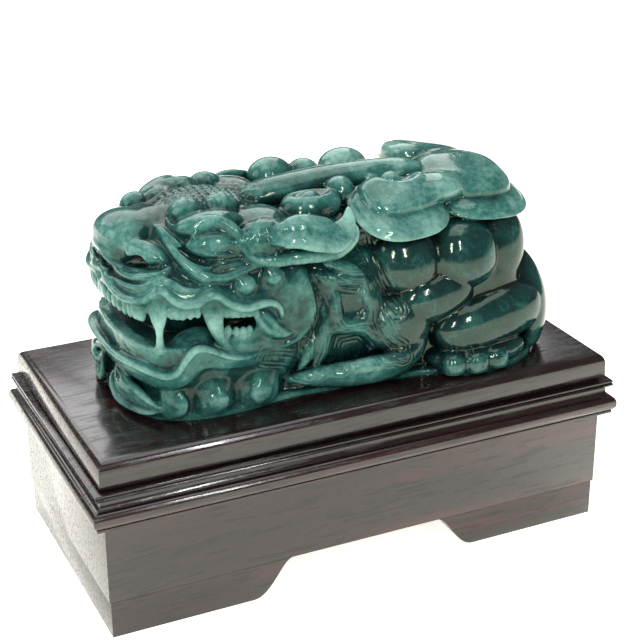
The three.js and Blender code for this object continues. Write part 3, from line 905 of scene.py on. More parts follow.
@dataclass
class Head(Beast):
    """The head: skull, nose, lips, eyes, brows, ears, jaw, fangs and teeth."""

    lip_rim: tuple[Point, ...] = (
        (-55.9, 1.6, 29.1), (-55.5, -3.2, 31), (-55.3, -8.9, 30.6), (-54.5, -13.7, 30.1), (-52.9, -17.3, 30.5),
        (-50.9, -19.7, 31.4), (-49.4, -20.6, 32.8), (-47.8, -21.2, 33.8), (-46.6, -22.3, 33), (-45, -23.6, 31.2),
        (-42.9, -24.5, 30.3), (-40.3, -25, 30.3), (-38.6, -25, 31.1), (-36.8, -25, 31.7), (-35.1, -25.2, 31.3),
        (-33.2, -25.6, 29.6), (-30.8, -25.8, 28.2), (-28, -25.8, 27.4), (-24.7, -25.7, 27.7), (-22, -25.6, 27.6),
        (-20, -25.5, 26.2), (-19.2, -25.2, 24.2), (-19.1, -24.8, 22))
    lower_rim: tuple[Point, ...] = (
        (-56, 4.8, 14.3), (-56, -0.7, 14), (-55.8, -7.9, 14.2), (-54.8, -13.9, 14.4), (-52.8, -18.2, 14.1),
        (-50.4, -21, 13.3), (-48, -22.6, 12.6), (-45.7, -23.9, 13.3), (-44.2, -24.6, 15.6), (-42.8, -25.1, 17.8),
        (-40.9, -25.4, 19.2), (-38.5, -25.7, 18.8), (-35.6, -25.9, 17.3), (-32.7, -25.9, 15.8), (-29, -25.6, 14.8),
        (-24.5, -25, 15))

    def skull(self) -> list[Form]:
        """Returns the mass of the head and nose."""
        return [
            self.mass((-30, 0, 20.5), (24.3, 24.2, 20.9), 3.4),
            self.mass((-30, 0, 38), (18.6, 19.2, 8.4), 2.6),
            self.mass((-30, 0, 43), (12.5, 12, 6.2), 2.2),
            self.mass((-33, 0, 4), (20, 22.4, 12.5), 3.6),
            self.mass((-48.2, 0, 40.6), (8.4, 10, 6.1), 2.2),
            self.mass((-42, 0, 42), (7, 9, 4.6)),
        ]

    def mouth(self) -> tuple[Lump, Lump]:
        """Returns the open mouth and the throat's mass, which is left standing in it."""
        return Lump((-40, 0, 23.4), (18, 30, 4.9), power=3.4), Lump((-28, 0, 23), (19, 16, 12), power=2.8)

    def muzzle(self, side: Side) -> list[Form]:
        """Returns the nostril's wing, the layered upper lip, the knobs beside it and the cheek."""
        return [
            self.band(side, [(-53, -6.4, 42), (-50.8, -10.6, 41.4), (-48, -14, 40.4), (-45.8, -16.4, 38.8),
                             (-47, -17, 37)], (2.2, 3, 2.8, 2.2, 1.2), (1.8, 2.4, 2.4, 1.8), 1.1, blunt=0.45),
            self.band(side, [(-56.3, -3.1, 39.4), (-55.5, -4.5, 37.6), (-53.7, -6.8, 36.2), (-51.9, -9.8, 36),
                             (-50.3, -13.9, 36.4), (-48.3, -17, 36.7), (-46, -18.4, 37.6)], 0.8, 1.1, 0.3),
            self.band(side, [(-54.5, 9.4, 32), (-54.8, 5.5, 31.9), (-54.7, 1.1, 32.4), (-54.1, -3.9, 34)],
                      0.9, 1.2, 0.1),
            self.band(side, [(-53.8, -3, 34.6), (-53.1, -9.5, 34.7), (-51.6, -14.4, 35.1), (-49.2, -17.5, 35.8),
                             (-46.9, -19, 36.4), (-44.8, -19.1, 37.5), (-43.8, -18.4, 38.5)], 1.1, 1.5, 0),
            self.band(side, [(-55.2, 4, 31), (-55, -4, 32.2), (-54.6, -9, 31.9), (-53.7, -14, 31.5), (-52, -18, 32),
                             (-49.8, -20.2, 33.6), (-47.6, -21.2, 34.2), (-45.4, -22.7, 33), (-42.6, -23.9, 31.8),
                             (-39.5, -24.4, 31.8), (-36, -24.5, 32.4), (-33.2, -24.8, 31), (-30, -25, 29.8),
                             (-26, -25, 29.4), (-22, -24.6, 28.8)], (2.6, 2.7, 2.6, 2.4, 2), 2.2, 1.8, blunt=0.3,
                      samples=90),
            self.band(side, [(-54.3, -5.4, 33.4), (-54, -9.8, 33.1), (-53, -14.1, 33.1), (-51.1, -17.6, 33.5),
                             (-48.9, -19.3, 34.6), (-47, -20.2, 35.4), (-45.6, -21, 35.2), (-44, -22.1, 34.3),
                             (-42.4, -23, 33.5), (-40.1, -23.6, 33.3), (-37, -23.8, 34)], 1, 1.5, -0.2, samples=80,
                      fillet=0.5),
            self.band(side, self.lip_rim, (1.1, 1.1, 1.1, 1.1, 1.1, 1.3, 1.1), 1.5, 0.1, blunt=0.35, samples=120,
                      fillet=0.45),
            self.band(side, [(-27.2, -25.4, 27), (-24.9, -25.3, 23.9), (-23, -25.2, 20.9), (-20.5, -25, 19.2),
                             (-17.4, -24.5, 18.1), (-13.5, -23.4, 18.1)], (1.2, 1.3, 1.2, 0.9), 1.5, 0.7),
            self.band(side, [(-24.4, -25.2, 25.9), (-21.9, -25.1, 23.3), (-20.2, -25, 20.8), (-17.1, -24.5, 18.9)],
                      0.8, 1.2, 0.5),
            self.lump(side, (-27.8, -23.6, 32), (3, 1.9, 2.9), fillet=0.35),
            self.lump(side, (-20.2, -22.6, 33), (3.1, 2.1, 3), fillet=0.35),
            self.cheek(side),
            self.band(side, [(-17, -21.6, 36.4), (-13.5, -22.8, 33), (-11.2, -23, 28.5), (-10.6, -23.2, 23.6),
                             (-11.4, -23.3, 19.4), (-14.4, -23.8, 16.2), (-18.5, -24.4, 14.6)],
                      (1, 1.4, 1.6, 1.6, 1.2), 1.5, 0.6, samples=70),
        ]

    def cheek(self, side: Side) -> Lump:
        """Returns the cheek's mass, which the mouth's corner is cut into."""
        return self.lump(side, (-16.5, -18.2, 25), (7.6, 6, 11.5), power=2.5)

    def eye_and_brow(self, side: Side) -> list[Form]:
        """Returns the eyeball between its lids, the folds round it and the brow."""
        return [
            self.lump(side, (-33.9, -18.4, 42), (6.1, 2.7, 3.2), turn=(-30, 0, -14), fillet=0.25),
            self.band(side, [(-40.4, -18, 41.9), (-37.7, -17.6, 44.2), (-34.6, -16.9, 45.2), (-32, -17.1, 45.2),
                             (-29.9, -18.4, 44.3), (-28.8, -20, 42.6), (-27.7, -21.1, 40.2), (-26.3, -22, 37.8)],
                      0.75, 1.3, 0.1, fillet=0.5),
            self.band(side, [(-40.2, -18.4, 41.9), (-37.9, -20, 40.4), (-34.4, -20.8, 39.6), (-30.9, -21, 39.3),
                             (-28.3, -21, 39.3), (-26.7, -21.7, 38)], 0.75, 1.3, 0.1, fillet=0.5),
            self.band(side, [(-44.2, -6.8, 45.3), (-44.1, -11.2, 44.5), (-43.6, -15.5, 42.7), (-42.2, -18.3, 40.4),
                             (-40.6, -20.5, 38), (-38.3, -22.3, 36.2), (-35.5, -23.1, 35.2), (-32.8, -23.3, 35),
                             (-29.8, -23.2, 35.5), (-26.4, -23, 36.2), (-22, -23, 36.6), (-17, -22.6, 36)],
                      (1, 1.3, 1.4, 1.3, 1), 1.7, 0.6, samples=90),
            self.band(side, [(-43.2, -8.7, 45.6), (-42.9, -13.2, 44.3), (-41.6, -16.6, 42.6), (-40.2, -19, 40.2),
                             (-38.3, -20.6, 38.4), (-36, -21.5, 37.4), (-32.4, -22, 37.2)], 0.75, 1.2, 0.3),
            self.band(side, [(-41.8, -6.5, 47.4), (-41.6, -9.6, 46.4), (-40.7, -12.6, 45.4), (-39.2, -14.6, 45.6),
                             (-37.2, -15.8, 46.6), (-34.6, -16.8, 47.4), (-31.6, -17.8, 47.2), (-29.3, -19.2, 46),
                             (-27.9, -20.6, 44.2), (-27.1, -21.8, 41.8), (-26.2, -22.8, 39.8), (-24.8, -23.6, 38.6),
                             (-22.6, -24.2, 38.2), (-20.4, -24.6, 39.2), (-18.2, -25, 41)],
                      (0.9, 1.2, 1.3, 1.4, 1.4, 1.3, 1.1), 1.7, 0.7, samples=90),
            self.lump(side, (-32.5, -13.5, 44.6), (8.6, 5, 3.6), turn=(-18, 0, 0)),
            self.lump(side, (-21.4, -20.6, 41.2), (6.6, 3.5, 3.8), turn=(-12, 8, 0), power=2.3),
            self.lump(side, (-30, -19.6, 37.4), (7, 3, 2.6), power=2.2),
            self.lump(side, (-28.4, -19.4, 41.4), (2.6, 2.4, 2.6)),
        ]

    def brow_knobs(self, side: Side) -> list[Form]:
        """Returns the knobs over the brow and the temple behind them."""
        if side is Side.FAR:
            return [
                Lump((-42.8, 9.4, 43.4), (4, 3.9, 4)),
                Lump((-36.5, 9.2, 43.4), (5, 5, 4.4)),
                Lump((-29, 11.4, 44.8), (3.6, 4.2, 4)),
                Lump((-23.2, 12.4, 44.8), (4.6, 4.6, 4)),
                Lump((-18, 10, 43.5), (7.5, 8, 3.6)),
            ]
        return [
            Lump((-36, -8.2, 46.1), (4.8, 4.7, 4.4), fillet=0.4),
            Lump((-27.7, -8.4, 46.2), (4.9, 4.7, 4.4), fillet=0.4),
            Lump((-20.4, -18.6, 41.8), (7.2, 5.6, 4.2), (-35, 6, 6)),
            Lump((-19.5, -12, 42.8), (8, 8, 3.8)),
        ]

    def ear(self, side: Side) -> list[Form]:
        """Returns the leaf of the ear, the lobe under it and the root behind."""
        lift = 0.0 if side is Side.NEAR else -1.6

        def raised(points: Iterable[Point]) -> list[Point]:
            return [(x, y, z + lift) for x, y, z in points]

        return [
            self.band(side, raised([(-23.5, -22, 42.2), (-19, -24.3, 43.4), (-14.5, -25.6, 44.2), (-9.5, -26, 43),
                                    (-4.5, -25.8, 41.8), (-1.4, -24.4, 44), (-0.4, -23, 48)]),
                      (2.6, 4.6, 4.9, 4.6, 3.4, 1.9), 1.9, 0.3, blunt=0.5, samples=80),
            self.band(side, raised([(-26.5, -22.2, 39), (-21.5, -23.9, 37.4), (-16, -25, 37.9), (-10, -25.4, 37.9),
                                    (-4, -25.4, 38), (0.4, -24.6, 40.4), (1.6, -23.6, 43.6)]), 2.1, 1.9, 0.6,
                      samples=70),
            Lump(self.on_side(side, (-12, -17.5, 40 + lift)), (13, 7, 4.5)),
        ]

    def fangs(self, side: Side) -> list[Form]:
        """Returns the two long fangs, the front one waisted where it passes the open mouth."""
        return [
            self.band(side, [(-48.5, -20.8, 31.8), (-48.8, -20.9, 28.6), (-48.8, -21.1, 26), (-48.8, -21.2, 23.8),
                             (-48.8, -21.2, 22), (-48.8, -21.2, 20), (-48.8, -21.2, 17.4)],
                      (2.8, 2.7, 1.9, 1, 0.85, 1.2, 2.3), (1.6, 1.6, 1.3, 1, 0.9, 1.1, 1.5), 0.7, blunt=0.2),
            self.band(side, [(-36.3, -24.3, 30.6), (-36.5, -24.6, 28), (-36.1, -24.7, 25.5), (-35.6, -24.8, 23.1),
                             (-34.8, -24.8, 20.7), (-33.4, -24.8, 18.4), (-31.4, -24.8, 16.3), (-29.1, -24.7, 15)],
                      (2.9, 3, 2.3, 1.8, 1.4, 1.1, 0.9, 0.7), (1.7, 1.7, 1.6, 1.5, 1.3, 1.1, 0.9), 0.7, blunt=0.25),
        ]

    def teeth(self, side: Side) -> list[Form]:
        """Returns the row of small teeth under the upper lip and the few on the lower gum."""
        rows = [
            (10, 2.3, [(-54.9, 0.8, 27.6), (-54.7, -5.6, 27.7), (-54, -11.8, 27.7), (-52.6, -16, 27.6),
                       (-51.4, -18.2, 27.6)]),
            (5, 1.7, [(-45.9, -22.6, 28.2), (-43.4, -23.5, 27.8), (-40, -24.2, 28)]),
            (6, 1.6, [(-32.9, -24.6, 26.8), (-29.5, -24.7, 26.2), (-25.6, -24.6, 25.8)]),
            (4, 1.7, [(-32.5, -24.1, 21.7), (-29.6, -24.1, 20.8), (-27, -24, 20.6)]),
        ]
        forms: list[Form] = []
        for count, tall, knots in rows:
            for place in catmull_rom(np.array(knots), np.linspace(0, 1, count)):
                x, y, z = self.on_side(side, tuple(place))
                facing = math.degrees(math.atan2(y / 24.0, (x + 30.0) / 25.0))
                forms.append(Lump((x, y, z), (0.9, 0.82, tall), (0, 0, facing), fillet=0.25, power=2.3))
        return forms

    def jaw(self, side: Side) -> list[Form]:
        """Returns the lower lip, the gums, the tongue and the leaf that curls down from the lip to the paw."""
        return [
            self.band(side, [(-55.2, 5, 11.7), (-55.2, -1.8, 11.6), (-55, -9.5, 12.3), (-53.6, -15.1, 12.4),
                             (-51.4, -18.8, 11.9), (-48.6, -21.3, 11.2), (-46.1, -22.8, 11.4), (-43.9, -23.8, 12.7),
                             (-42.3, -24.4, 15), (-40.6, -24.8, 16.7), (-38, -25.1, 16.4), (-34.6, -25.2, 15.2),
                             (-31, -25.2, 14.2), (-27, -25, 13.8), (-22, -24.4, 14)], 2.5, 2.3, 1.4, blunt=0.3,
                      samples=90),
            self.band(side, self.lower_rim, (0.8, 0.9, 0.9, 1, 0.9, 0.8), 1.5, 0.15, blunt=0.35, samples=110,
                      fillet=0.45),
            self.band(side, [(-54.3, 5.5, 9), (-54.4, -2.9, 9.2), (-54.1, -11.2, 10.2), (-52.4, -16.4, 10.2),
                             (-50, -19.3, 9.4), (-46.9, -21.7, 9.2), (-44.3, -23.1, 10.1), (-42.2, -24.2, 12.2),
                             (-39.8, -24.8, 14), (-36.4, -25, 13.8), (-32.4, -25, 12.8), (-27.8, -24.8, 12.2),
                             (-22.4, -24.4, 12.4)], 0.9, 1.2, 0.7, samples=90),
            self.band(side, [(-54.2, 2, 18.2), (-53.9, -6.6, 17.7), (-53, -12.8, 17.5), (-51.2, -17.2, 16.8),
                             (-48.7, -20, 16.4), (-46.1, -21.7, 16.8), (-43.8, -22.6, 18.6)], 2, 1.8, 2.6, blunt=0.4),
            self.band(side, [(-35, -24.2, 20.2), (-32, -24.3, 18.6), (-29, -24.4, 17.3), (-25.6, -24.4, 17),
                             (-21, -24, 18.2)], 2, 1.8, 1.2),
            self.lump(side, (-39.6, -19.4, 18.4), (6, 4, 3.4), turn=(0, -10, 0)),
            self.band(side, [(-54.4, -5, 9.4), (-54.8, -7.4, 5.6), (-54, -12.4, 4.8), (-52, -17.6, 4.4),
                             (-48.6, -21.8, 3.2)], (2, 3.2, 3.3, 2.6, 1.4), 1.5, 0.3, blunt=0.5),
            self.band(side, [(-54.8, -5.2, 10.2), (-54.3, -11, 8.9), (-53.1, -16.2, 7.8), (-51.5, -19.5, 6),
                             (-49.1, -21.9, 3.6)], 0.7, 1.1, -0.3),
            self.band(side, [(-55, -4.6, 9), (-55.3, -3.6, 5), (-54.9, -6, 2), (-53.9, -12.4, 1.9), (-52, -18, 2),
                             (-49, -21.9, 2.6)], 0.7, 1.1, -0.2),
        ]

    def nostril(self, side: Side) -> list[Form]:
        """Returns the hollows of the nostril and of the fold under the eye."""
        return [
            self.band(side, [(-51.9, -9.4, 36.9), (-50.4, -11.4, 37.9), (-48.8, -13.4, 38.3), (-48.2, -15, 38)],
                      (0.8, 1.2, 1.5, 1.2), 2, 0),
            self.band(side, [(-42.4, -14.6, 42.9), (-40.4, -18.2, 40.6), (-37.4, -20.6, 38.9), (-34, -21.5, 38.3)],
                      0.8, 1.2, 0.2),
        ]

    def marks(self, side: Side) -> list[Mark]:
        """Returns the engraved lines and scales of the head."""
        scaly = [
            Scales(self.on_brow(side, (-21, -21.6, 42.6)), (7.4, 6, 5), (1, 0, 0.3), pitch=1.7, depth=0.4),
            Scales(self.on_brow(side, (-27, -3, 49)), (15, 10, 5), (1, 0, 0), pitch=1.9, depth=0.45),
            Scales(self.on_side(side, (-50, -14, 17.4)), (8, 10, 2.2), (0.5, 0.5, 0), pitch=1.3, depth=0.4),
            Scales(self.on_side(side, (-14, -23, 30)), (6, 5, 9), (1, 0, 0.2), pitch=1.5, depth=0.22),
        ]
        lines = [
            self.line(side, [(-57.5, 1, 43.9), (-56.7, -3, 42.3), (-54.9, -6.4, 41.2), (-52.9, -8.8, 40.3),
                             (-51.1, -10.6, 39.6)], 0.5, 0.6),
            self.line(side, [(-57.2, 2.6, 42.9), (-56.8, -1.6, 41.2), (-55.2, -5, 40.1), (-53.2, -7.6, 39.2),
                             (-51.6, -9.8, 38.8)], 0.5, 0.6),
            self.line(side, [(-40.2, -19.6, 44), (-37.1, -19.4, 45.6), (-32.7, -19.6, 45), (-28.7, -20.6, 42.2),
                             (-27, -21.4, 39.4), (-29.9, -21.6, 38.6), (-35.6, -21, 39.6), (-39.1, -20.2, 41.6)],
                      0.45, 0.6, closed=True),
            self.line(side, [(-36.4, -17.6, 43.4), (-35.6, -18.8, 42), (-35.8, -19.6, 40.6)], 0.35, 0.25),
            self.line(side, [(-36.6, -24.2, 34.6), (-33.6, -24.2, 34.2), (-31.4, -24.4, 33)], 0.4, 0.4),
            self.line(side, [(-22, -25.6, 46.4), (-17.5, -26.8, 46.2), (-13, -27.4, 45.2), (-9, -27.4, 43.2),
                             (-5.4, -27, 41.2)], 0.6, 0.8),
            self.line(side, [(-20, -26, 44.4), (-14.5, -27.2, 44), (-9.5, -27.4, 41.6), (-4.5, -26.8, 39.8)],
                      0.5, 0.45),
            self.line(side, [(-16.6, -24.2, 30), (-14.4, -24, 26.6), (-13.8, -24, 23), (-14.8, -24.3, 19.8)],
                      0.8, 0.45),
        ]
        knobs = (((-27.8, -24, 32), (3, 2.9, 3)), ((-20.2, -23, 33), (3.1, 3, 3)))
        rings = [Rim(self.lump(side, centre, radii, turn=(90, 0, 0)), 0.72, width=0.4, depth=0.4)
                 for centre, radii in knobs]
        return [*scaly, *lines, *rings]


@dataclass
class Body(Beast):
    """The trunk, mane, haunches, paws and tail."""

    def trunk(self) -> list[Form]:
        """Returns the mass of the body."""
        return [
            self.mass((0, 0, 18), (19, 22.1, 19), 3.2),
            self.mass((18, 0, 18), (37, 20.6, 18), 2.8),
            self.mass((35, 0, 17), (21, 24.4, 18), 2.8),
            self.mass((42, 0, 21), (13, 19.4, 18), 2.6),
            self.mass((14, 0, 5), (42, 21.2, 14), 3.6),
            self.mass((36, 0, 5), (20.5, 24, 12), 3),
            self.mass((12, 0, 36), (34, 16.4, 8), 2.6),
            Lump((33, -2, 37.5), (18.5, 16, 6.4), power=2.4),
        ]

    def mane(self, side: Side) -> list[Form]:
        """Returns the mane's flames round its two bosses, and the foreleg."""
        strands = [
            ([(-9.8, -19.7, 31.4), (-5.4, -21.4, 29.4), (-0.7, -21.9, 28.8), (3.7, -22, 27.7), (6.5, -21.9, 25)], 1.2),
            ([(-6.4, -21.4, 29), (-3.6, -22.4, 25.6), (-3.6, -22.8, 21.6), (-2.9, -22.9, 18.2), (0.5, -22.9, 16.3),
              (4.4, -22.9, 17.2), (6, -22.8, 20.9), (4.4, -22.6, 25), (7, -22.1, 27)], 1.4),
            ([(-7, -22.6, 13), (-5.4, -22.9, 16), (-0.6, -22.9, 16.2), (4.6, -22.9, 14.2), (6.8, -22.8, 10.2),
              (5, -22.8, 6.8)], 1.3),
            ([(-9.6, -21.4, 28), (-8, -22.4, 21.1), (-7.2, -22.7, 15.5), (-7.4, -22.4, 9.8), (-10.4, -22.3, 5)], 1.7),
            ([(4.9, -22.8, 16), (7.9, -22.6, 12.8), (10.4, -22.7, 9.6), (14.2, -22.7, 7.4), (19, -22.7, 7.4)], 1.5),
            ([(-11.2, -21.8, 20), (-10.6, -22.4, 15), (-11.4, -22.6, 10), (-14, -22.8, 6.4)], 1.2),
            ([(-6.8, -21.6, 33.6), (-3, -21.2, 33), (0.6, -21.4, 31.4), (4.8, -21.6, 28.4)], 1.1),
            ([(7, -21.6, 26), (8.4, -22, 20), (9.8, -22.2, 15)], 1.3),
        ]
        return [
            *(self.band(side, points, 1.5 * wide, 1.5, 0.6, samples=70) for points, wide in strands),
            self.band(side, [(-17, -21.4, 3.8), (-10, -23.4, 3.8), (-3, -24.6, 3.6), (4, -25.2, 3.4), (11, -25.4, 3.8),
                             (16.2, -25, 5.6), (19.4, -24.2, 9), (20.4, -22.8, 13)],
                      (2.6, 4, 4.8, 4.8, 4.6, 3.8, 3), 2.8, 1.2, blunt=0.4, samples=80, fillet=0.8),
        ]

    def haunch(self, side: Side) -> list[Form]:
        """Returns the haunch's lobes, the hind leg and its toes."""
        toes = ((27, -28), (32.8, -29.2), (38.8, -28.8))
        return [
            self.lump(side, (43.8, -13.6, 26), (9.4, 9.6, 13), turn=(0, 10, 0), power=2.2, fillet=0.35),
            self.lump(side, (17.8, -17.6, 28.8), (9.2, 6.6, 8.2), turn=(-16, 0, -6), power=2.3, fillet=0.25),
            self.lump(side, (33, -18.2, 28.6), (9.8, 8.4, 9.2), turn=(-16, 0, 4), power=2.3, fillet=0.25),
            self.lump(side, (14.6, -19.4, 13.8), (9.4, 6.8, 8), power=2.4, fillet=0.25),
            self.lump(side, (24.4, -20, 19.6), (12, 6.8, 6.8), turn=(-4, -10, 0), power=2.3, fillet=0.25),
            self.lump(side, (39.4, -21.4, 11.4), (16.6, 8, 7.8), turn=(0, -7, 5), power=2.4, fillet=0.25),
            self.band(side, [(54.4, -21, -2), (56, -21, 5), (56.8, -19.6, 12), (56, -17.2, 19), (53.6, -14.6, 26)],
                      (6.4, 7.4, 6.8, 5.2, 2.6), 3.6, 1.4, blunt=0.35, fillet=0.3),
            self.lump(side, (52, -14, 12), (7, 8.6, 11), power=2.3),
            self.lump(side, (36, -23, 3.2), (14, 7, 4), power=2.3, fillet=0.4),
        ] + [self.lump(side, (x, y + 0.9, 2.4), (3.5, 3.7, 3.6), power=2.5, fillet=0.3) for x, y in toes]

    def fore_paw(self, side: Side) -> list[Form]:
        """Returns the fore paw and its three toes, each with a pointed nail."""
        toes = ((-45.2, -20.8, 4, 5.6), (-36, -22.4, 5.5, 6.6), (-24.8, -22.2, 6.2, 6.4))
        forms: list[Form] = [self.lump(side, (-32.6, -15, 5), (17, 7.8, 8.4), power=2.8)]
        for x, y, wide, tall in toes:
            nail = [(x + 0.7, y - 1.5, 8.4), (x + 0.4, y - 2.3, 5.6), (x, y - 2.3, 3), (x - 0.4, y - 1.7, 0.9)]
            forms.append(self.lump(side, (x, y + 1.4, 4.8), (wide, 3.6, tall), power=2.4, fillet=0.25))
            forms.append(self.band(side, nail, (0.5, 0.5 * wide, 0.5 * wide, 1.1), 0.9, 0.1, blunt=0.5, fillet=0.25))
        return forms

    def hollows(self, side: Side) -> list[Form]:
        """Returns the deep folds behind the cheek, under the ear and between the legs."""
        return [
            self.band(side, [(-8, -23, 35.4), (-8, -23.6, 30), (-8, -23.8, 24), (-9.2, -23.8, 17.6),
                             (-13, -24, 12.6), (-19, -24.4, 11)], 1.2, 2.2, 0),
            self.lump(side, (1.5, -23.4, 34), (8, 4, 2.6), turn=(0, 6, 0)),
            self.lump(side, (1.2, -24.2, 21.4), (3.5, 2.4, 3.5), fillet=0.7),
            self.lump(side, (-0.2, -24.2, 11.4), (4.7, 2.4, 3.6), fillet=0.7),
        ]

    def hair(self) -> Combing:
        """Returns the fine strokes of the mane and the beard, which are the same on both sides."""
        return Combing([
            [(-9.6, -21.6, 33), (-8.6, -21.8, 28), (-8.2, -22.6, 23)],
            [(-7.6, -22.4, 30.6), (-5.4, -23, 26), (-4.8, -23.4, 21), (-4.6, -23.6, 17)],
            [(-5, -22.8, 31), (-1.6, -22.8, 27.6), (2.6, -22.8, 26.2)],
            [(-8.4, -23.4, 17), (-8, -23.2, 12), (-9.6, -23.2, 7.6)],
            [(-11.8, -23, 14), (-11.6, -23.2, 9.6), (-14, -23.2, 6.4)],
            [(6.4, -22.8, 23), (7.4, -23, 18.6), (8.8, -23, 14.2)],
            [(7.6, -23, 12), (9.8, -23.4, 9), (13.2, -23.6, 7)],
            [(-3.8, -23.4, 14.4), (-4.8, -23.4, 11), (-4.2, -23.2, 8)],
            [(6.1, -17.6, 36), (7, -19.9, 31.9), (8.2, -21.7, 26.9), (10.4, -22.4, 22.5), (12, -22.6, 19.2)],
            [(-6.4, -22.6, 33), (-3, -22.4, 31.6), (1, -22.4, 30.2), (5, -22.4, 29.4)],
            [(4.8, -22.8, 30), (7.4, -22.6, 27.4), (8.4, -22.8, 24)],
            [(4, -23.2, 14.6), (7.2, -23.2, 10.8), (8.6, -23.4, 8.4)],
            [(-10.4, -22, 29), (-9, -22.8, 22), (-8.4, -23.2, 16), (-9, -23.2, 10), (-11.6, -23.2, 5.6)],
            [(-7, -23, 28), (-5, -23.4, 23), (-4.6, -23.6, 18.4), (-2, -23.6, 15), (2.6, -23.6, 14.8)],
            [(6, -22.8, 27), (7.6, -23, 22), (7.2, -23.2, 17.4), (9.4, -23.4, 12.6), (13, -23.6, 9.4)],
            [(-23, -24, 12.6), (-17, -24, 10.6), (-11, -23.6, 6.4)],
        ])

    def tail(self) -> list[Form]:
        """Returns the curled tail against the rump."""
        return [
            Band(((56, -6, 1), (57.6, -3, 9), (57, 2, 17), (54.4, 5, 24), (51.4, 1.5, 28), (51, -3, 25)), 4.2, 3.6),
            Band(((56, 9, 1), (56.8, 8.5, 8), (55.8, 11, 15), (52.4, 13.5, 20)), 3.4, 3.3),
        ]


@dataclass
class RuyiAndOfferings:
    """What lies along the back: the ruyi with its stem and three lobes, the ingot and the balls."""

    flange: float = 1.5
    step_share: float = 0.87
    step_rise: float = 0.9
    step_height: float = 1.6

    def lobes(self) -> list[tuple[Lump, Lump, Lump]]:
        """Returns each lobe's flange, the step on it and the pillow on top."""
        rows = [
            ((16.4, -16.6, 42.3), (13.4, 10.8), (27, 4, 8), (17.2, -14.8, 45), (10.7, 6.9, 3.6)),
            ((41.2, -9.4, 41), (14.2, 13.6), (14, 5, 0), (40.2, -7, 44.2), (11.6, 10.2, 3.9)),
            ((38.4, 11.6, 43.6), (12, 9.6), (-8, 12, 0), (37.4, 9.8, 45.8), (11, 7.8, 3.5)),
        ]
        built = []
        for (x, y, z), (long, deep), turn, cap, cap_radii in rows:
            up = turned(turn)[:, 2]
            step = tuple(np.array((x, y, z)) + self.step_rise * up)
            built.append((Lump((x, y, z), (long, deep, self.flange), turn, 2.5, 0.4),
                          Lump(step, (long * self.step_share, deep * self.step_share, self.step_height), turn, 2.8,
                               0.15),
                          Lump(cap, cap_radii, turn, 2.9, 0.2)))
        return built

    def beds(self) -> list[Form]:
        """Returns the stone that fills the space under the lobes."""
        return [
            Lump((17, -11, 38.5), (10.5, 9, 4.6), power=2.4),
            Lump((40, -5, 37), (11.5, 13, 5), power=2.4),
            Lump((36, 8, 39), (13, 9, 5.4), power=2.4),
        ]

    def bridges(self) -> list[Form]:
        """Returns the stone that joins the lobes' pillows."""
        return [
            Lump((28, -12.4, 44.9), (8.4, 6.8, 3.6), fillet=1.6),
            Lump((38.4, 2.6, 45), (10, 8.6, 3.9), power=2.2, fillet=1.2),
        ]

    def stem(self) -> list[Form]:
        """Returns the stem, which lies along the spine, and the cloud curl at its end."""
        return [
            Band(((-19, 1, 44.6), (-10, 0.4, 45.6), (2, 0, 46.4), (14, -0.4, 46.6), (25, -2, 46.4), (30.5, -4, 45)),
                 (5.4, 5.2, 4.8, 4.6, 4.4), 3.6, 0.1, (0, 0, 1), samples=80),
            Band(((11.4, -8.4, 46.6), (14.4, -6.4, 47.4), (18.6, -5.6, 47.6), (22.8, -7, 47)), 1.3, 1.6, 0.5,
                 (0, 0, 1)),
        ]

    def niche(self) -> Lump:
        """Returns the hollow in the near lobe that a ball lies in."""
        return Lump((18.4, -9.2, 49.8), (6.6, 5.6, 3.6), fillet=1)

    def ingot(self) -> tuple[Lump, Lump, Lump]:
        """Returns the ingot's boat, the hollow in it and the dome that stands in the hollow."""
        return (Lump((-5, -11.4, 44.8), (8, 5.4, 4.2)), Lump((-5, -10.8, 50), (6.4, 4.2, 3.6)),
                Lump((-5, -11, 45.8), (3, 2.6, 2.4)))

    def balls(self) -> list[Form]:
        """Returns the balls."""
        return [
            Lump((4.2, -8.4, 46.2), (3.9, 3.7, 3.7)),
            Lump((18, -9.2, 47), (2.7, 2.5, 2.4), fillet=0.3),
            Lump((-4, 15.5, 44.2), (6.2, 5.4, 4.9)),
            Lump((5, 14.5, 43.8), (4.4, 4.4, 4.1)),
            Lump((16.5, 15, 44.2), (6.8, 5.6, 4.8)),
        ]


